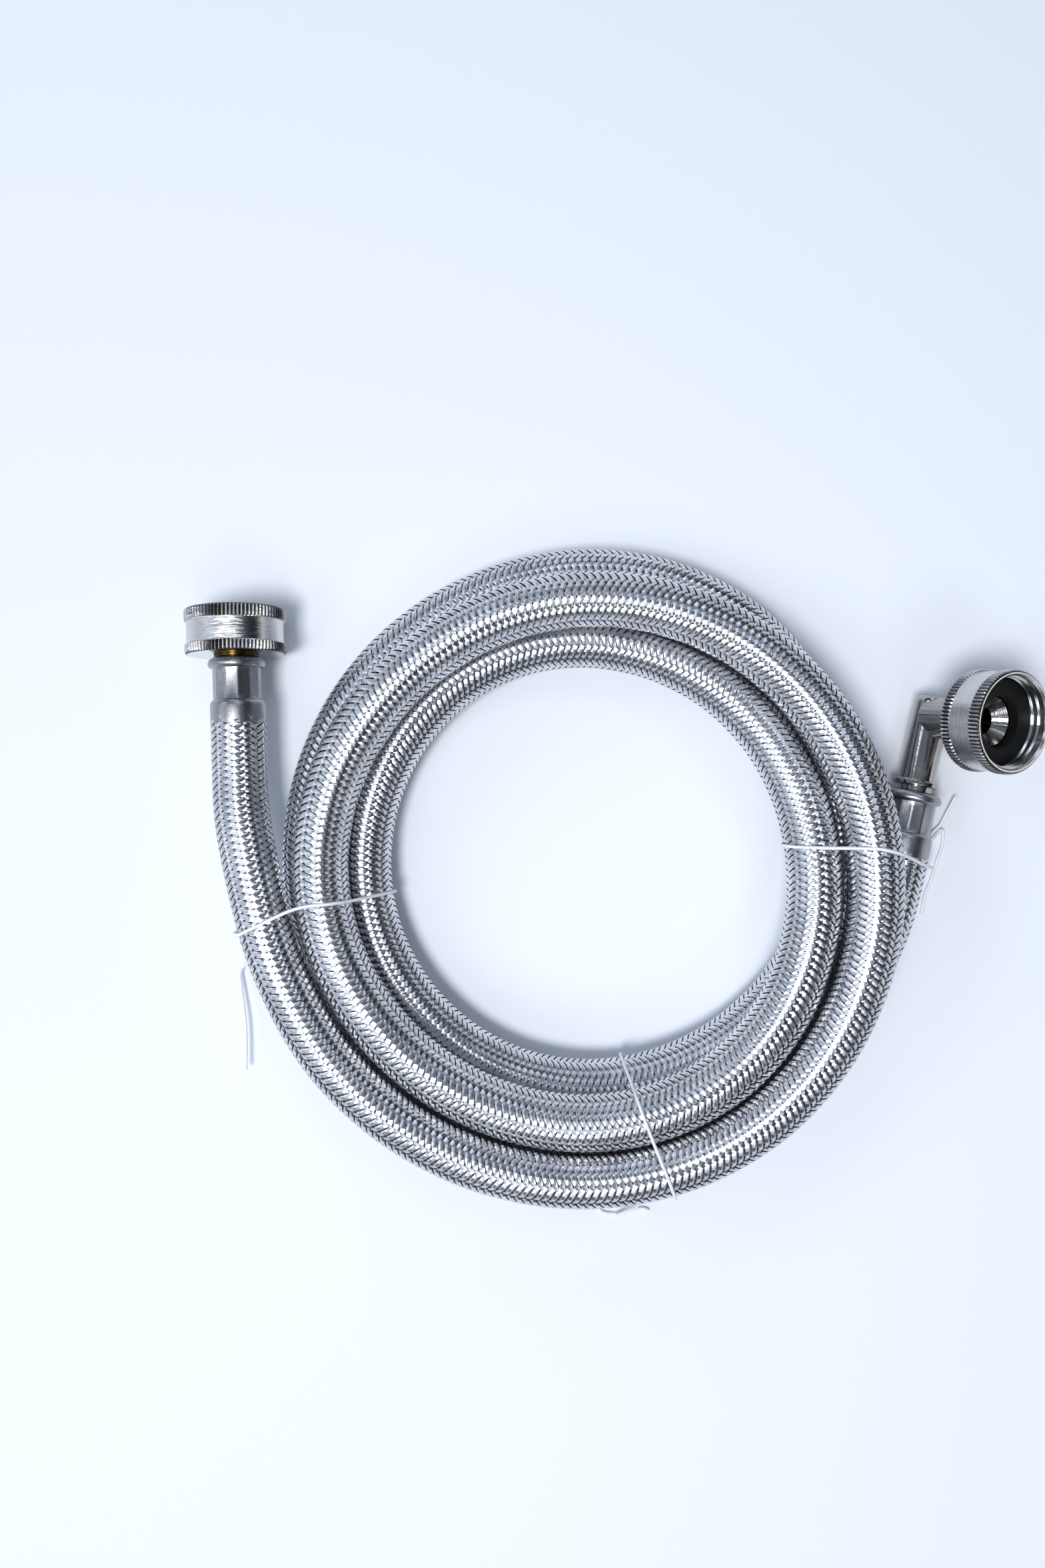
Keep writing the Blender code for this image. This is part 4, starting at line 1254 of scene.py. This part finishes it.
def build_hose():
    """The core and the braid's stretches on it."""
    core = braid_core(braid_shadow())
    wire = woven_wire()
    braid = [braid_piece(index, wire) for index in range(BRAID_PIECES)]
    return core, braid


def build_fittings():
    """Both ends' pieces, each placed along its fitting's own line from the ferrule's mouth."""
    nickel = turned_nickel()
    stainless = pressed_stainless()
    rubber = moulded_rubber()
    straight_mouth = COIL_CENTRE + STRAIGHT_MOUTH
    straight_way = lean_direction(STRAIGHT_LEAN)
    elbow_mouth = COIL_CENTRE + ELBOW_MOUTH
    leg_way = lean_direction(ELBOW_LEAN)
    corner = elbow_mouth + leg_way * (ELBOW_COLLAR_BACK + ELBOW_COLLAR_THICKNESS + LEG_LENGTH)
    level = Vector((leg_way.y, -leg_way.x, 0.0))
    nozzle_way = level * math.cos(NOZZLE_ELEVATION) + Vector((0.0, 0.0, math.sin(NOZZLE_ELEVATION)))

    ferrule("straight_ferrule_shell", stainless, straight_mouth, straight_way)
    elbow_shell = ferrule("elbow_ferrule_shell", stainless, elbow_mouth, leg_way)
    tailpiece(turned_brass(), straight_mouth, straight_way)
    plated = elbow(cast_nickel(), elbow_mouth, leg_way, corner, nozzle_way)
    coupling_nut(
        "straight_nut_knurled", nickel, "straight_coupling_nut", "straight_nut",
        straight_mouth + straight_way * STRAIGHT_NUT_BACK, straight_way,
    )
    coupling_nut(
        "elbow_nut_knurled", nickel, "elbow_coupling_nut", "elbow_nut",
        corner + nozzle_way * NOZZLE_NUT_BACK, nozzle_way,
    )
    washer(
        "straight_washer_ring", rubber, "straight_washer", straight_mouth, straight_way, STRAIGHT_NUT_BACK
    )
    washer("elbow_washer_ring", rubber, "elbow_washer", corner, nozzle_way, NOZZLE_NUT_BACK)
    return elbow_shell, plated


def build_ties():
    """The three wire ties, all with one coat."""
    coat = coated_wire()
    for side in TIES:
        wire_tie(side, coat)


def dress_liner():
    """The tube inside keeps its solid's shape and takes a rubber material."""
    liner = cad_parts["inner_tube"]
    liner.data.materials.clear()
    liner.data.materials.append(hose_liner())


# Table and light, in metres

TABLE_HALF_WIDTH = 3.0


def build_floor():
    """A table far wider than the view, for the hose's shadow to fall on."""
    bm = bmesh.new()
    bmesh.ops.create_grid(bm, x_segments=1, y_segments=1, size=TABLE_HALF_WIDTH)
    mesh = bpy.data.meshes.new("table")
    bm.to_mesh(mesh)
    bm.free()
    mesh.materials.append(table_top())
    table = bpy.data.objects.new("table", mesh)
    bpy.context.scene.collection.objects.link(table)


LAMP_PLACE = Vector((-0.25, -0.18, 1.02))
LAMP_WIDTH = 0.32
LAMP_POWER = 6.8


def add_lamp():
    """A round white lamp near the table, at the lower left of the view."""
    lamp = bpy.data.lights.new("lamp at the lower left", "AREA")
    lamp.shape = "DISK"
    lamp.size = LAMP_WIDTH
    lamp.energy = LAMP_POWER
    holder = bpy.data.objects.new("lamp at the lower left", lamp)
    bpy.context.scene.collection.objects.link(holder)
    holder.location = LAMP_PLACE
    holder.rotation_euler = (-LAMP_PLACE).to_track_quat("-Z", "Y").to_euler()


# The room grows lighter upwards and towards -X. The backdrop's mirror image fades out between two
# heights, given as the upward part of a direction: 0 at the horizon and 1 overhead
ROOM_LEAN = -0.3
BACKDROP_TOP = 0.25
BACKDROP_FULL = 0.12

# Patches of the room: the way to each, its half width and soft edge in degrees, its colour and strength
ROOM_PATCHES = [
    ((-0.55, -0.35, 0.76), 7, 8, "#E2E9F4", 3.0),
    ((-0.84, -0.05, 0.52), 9, 9, "#DCE6F6", 1.7),
    ((0.20, 0.50, 0.84), 5, 6, "#DCE6F6", 3.6),
    ((0.05, -0.62, 0.78), 6, 6, "#E4EAF4", 4.0),
    ((0.95, -0.15, 0.25), 6, 6, "#E4E2E0", 1.4),
    ((-0.10, 0.85, 0.52), 8, 6, "#DCE6F6", 2.6),
    ((-0.70, 0.40, 0.60), 5, 6, "#DCE6F6", 3.4),
]


def room_patch(tree, way, width, edge, tint, strength):
    """A soft-edged bright patch of the room, as seen from the hose."""
    place = add_node(tree, "ShaderNodeTexCoord")
    aim = Vector(way).normalized()
    toward = add_node(
        tree, "ShaderNodeVectorMath", {"operation": "DOT_PRODUCT", 1: tuple(aim)},
        {0: place.outputs["Generated"]},
    )
    near = math.cos(math.radians(width))
    far = math.cos(math.radians(width + edge))
    part = add_node(
        tree, "ShaderNodeMapRange", {"From Min": far, "From Max": near}, {"Value": toward.outputs["Value"]}
    )
    glow = add_node(tree, "ShaderNodeBackground", {"Color": colour(tint)})
    level = add_node(tree, "ShaderNodeMath", {"operation": "MULTIPLY", 1: strength}, {0: part.outputs[0]})
    tree.links.new(level.outputs[0], glow.inputs["Strength"])
    return glow


def build_light():
    """One near lamp, and a dim blue room with soft windows. A plain pale backdrop stands round the
    table: past the table's edge the eye sees it alone, and metal mirrors it below the windows."""
    add_lamp()
    world = bpy.data.worlds.new("room")
    bpy.context.scene.world = world
    world.use_nodes = True
    tree = world.node_tree
    sky = tree.nodes["Background"]
    place = add_node(tree, "ShaderNodeTexCoord")
    parts = add_node(tree, "ShaderNodeSeparateXYZ", links={0: place.outputs["Generated"]})
    leaning = add_node(
        tree, "ShaderNodeMath", {"operation": "MULTIPLY_ADD", 1: ROOM_LEAN},
        {0: parts.outputs["X"], 2: parts.outputs["Z"]},
    )
    room = add_node(tree, "ShaderNodeValToRGB", links={"Fac": leaning.outputs[0]})
    set_ramp(room, [(0.0, "#26272B"), (0.4, "#2A2C31"), (0.62, "#4A5059"), (1.0, "#868F9E")])
    tree.links.new(room.outputs["Color"], sky.inputs["Color"])
    light = sky
    for patch in ROOM_PATCHES:
        glow = room_patch(tree, *patch)
        light = add_node(tree, "ShaderNodeAddShader", links={0: light.outputs[0], 1: glow.outputs[0]})
    seen = add_node(tree, "ShaderNodeLightPath")
    near_table = add_node(
        tree, "ShaderNodeMapRange", {"From Min": BACKDROP_TOP, "From Max": BACKDROP_FULL},
        {"Value": parts.outputs["Z"]},
    )
    mirrored = add_node(
        tree, "ShaderNodeMath", {"operation": "MAXIMUM"},
        {0: seen.outputs["Is Glossy Ray"], 1: seen.outputs["Is Transmission Ray"]},
    )
    in_metal = add_node(
        tree, "ShaderNodeMath", {"operation": "MULTIPLY"}, {0: mirrored.outputs[0], 1: near_table.outputs[0]}
    )
    pale = add_node(
        tree, "ShaderNodeMath", {"operation": "MAXIMUM"},
        {0: seen.outputs["Is Camera Ray"], 1: in_metal.outputs[0]},
    )
    backdrop = add_node(tree, "ShaderNodeBackground", {"Color": colour("#EDF3FA")})
    shown = add_node(
        tree, "ShaderNodeMixShader", links={0: pale.outputs[0], 1: light.outputs[0], 2: backdrop.outputs[0]}
    )
    tree.links.new(shown.outputs[0], tree.nodes["World Output"].inputs["Surface"])


core, braid = build_hose()
elbow_shell, plated = build_fittings()
build_ties()
dress_liner()
build_floor()
build_light()
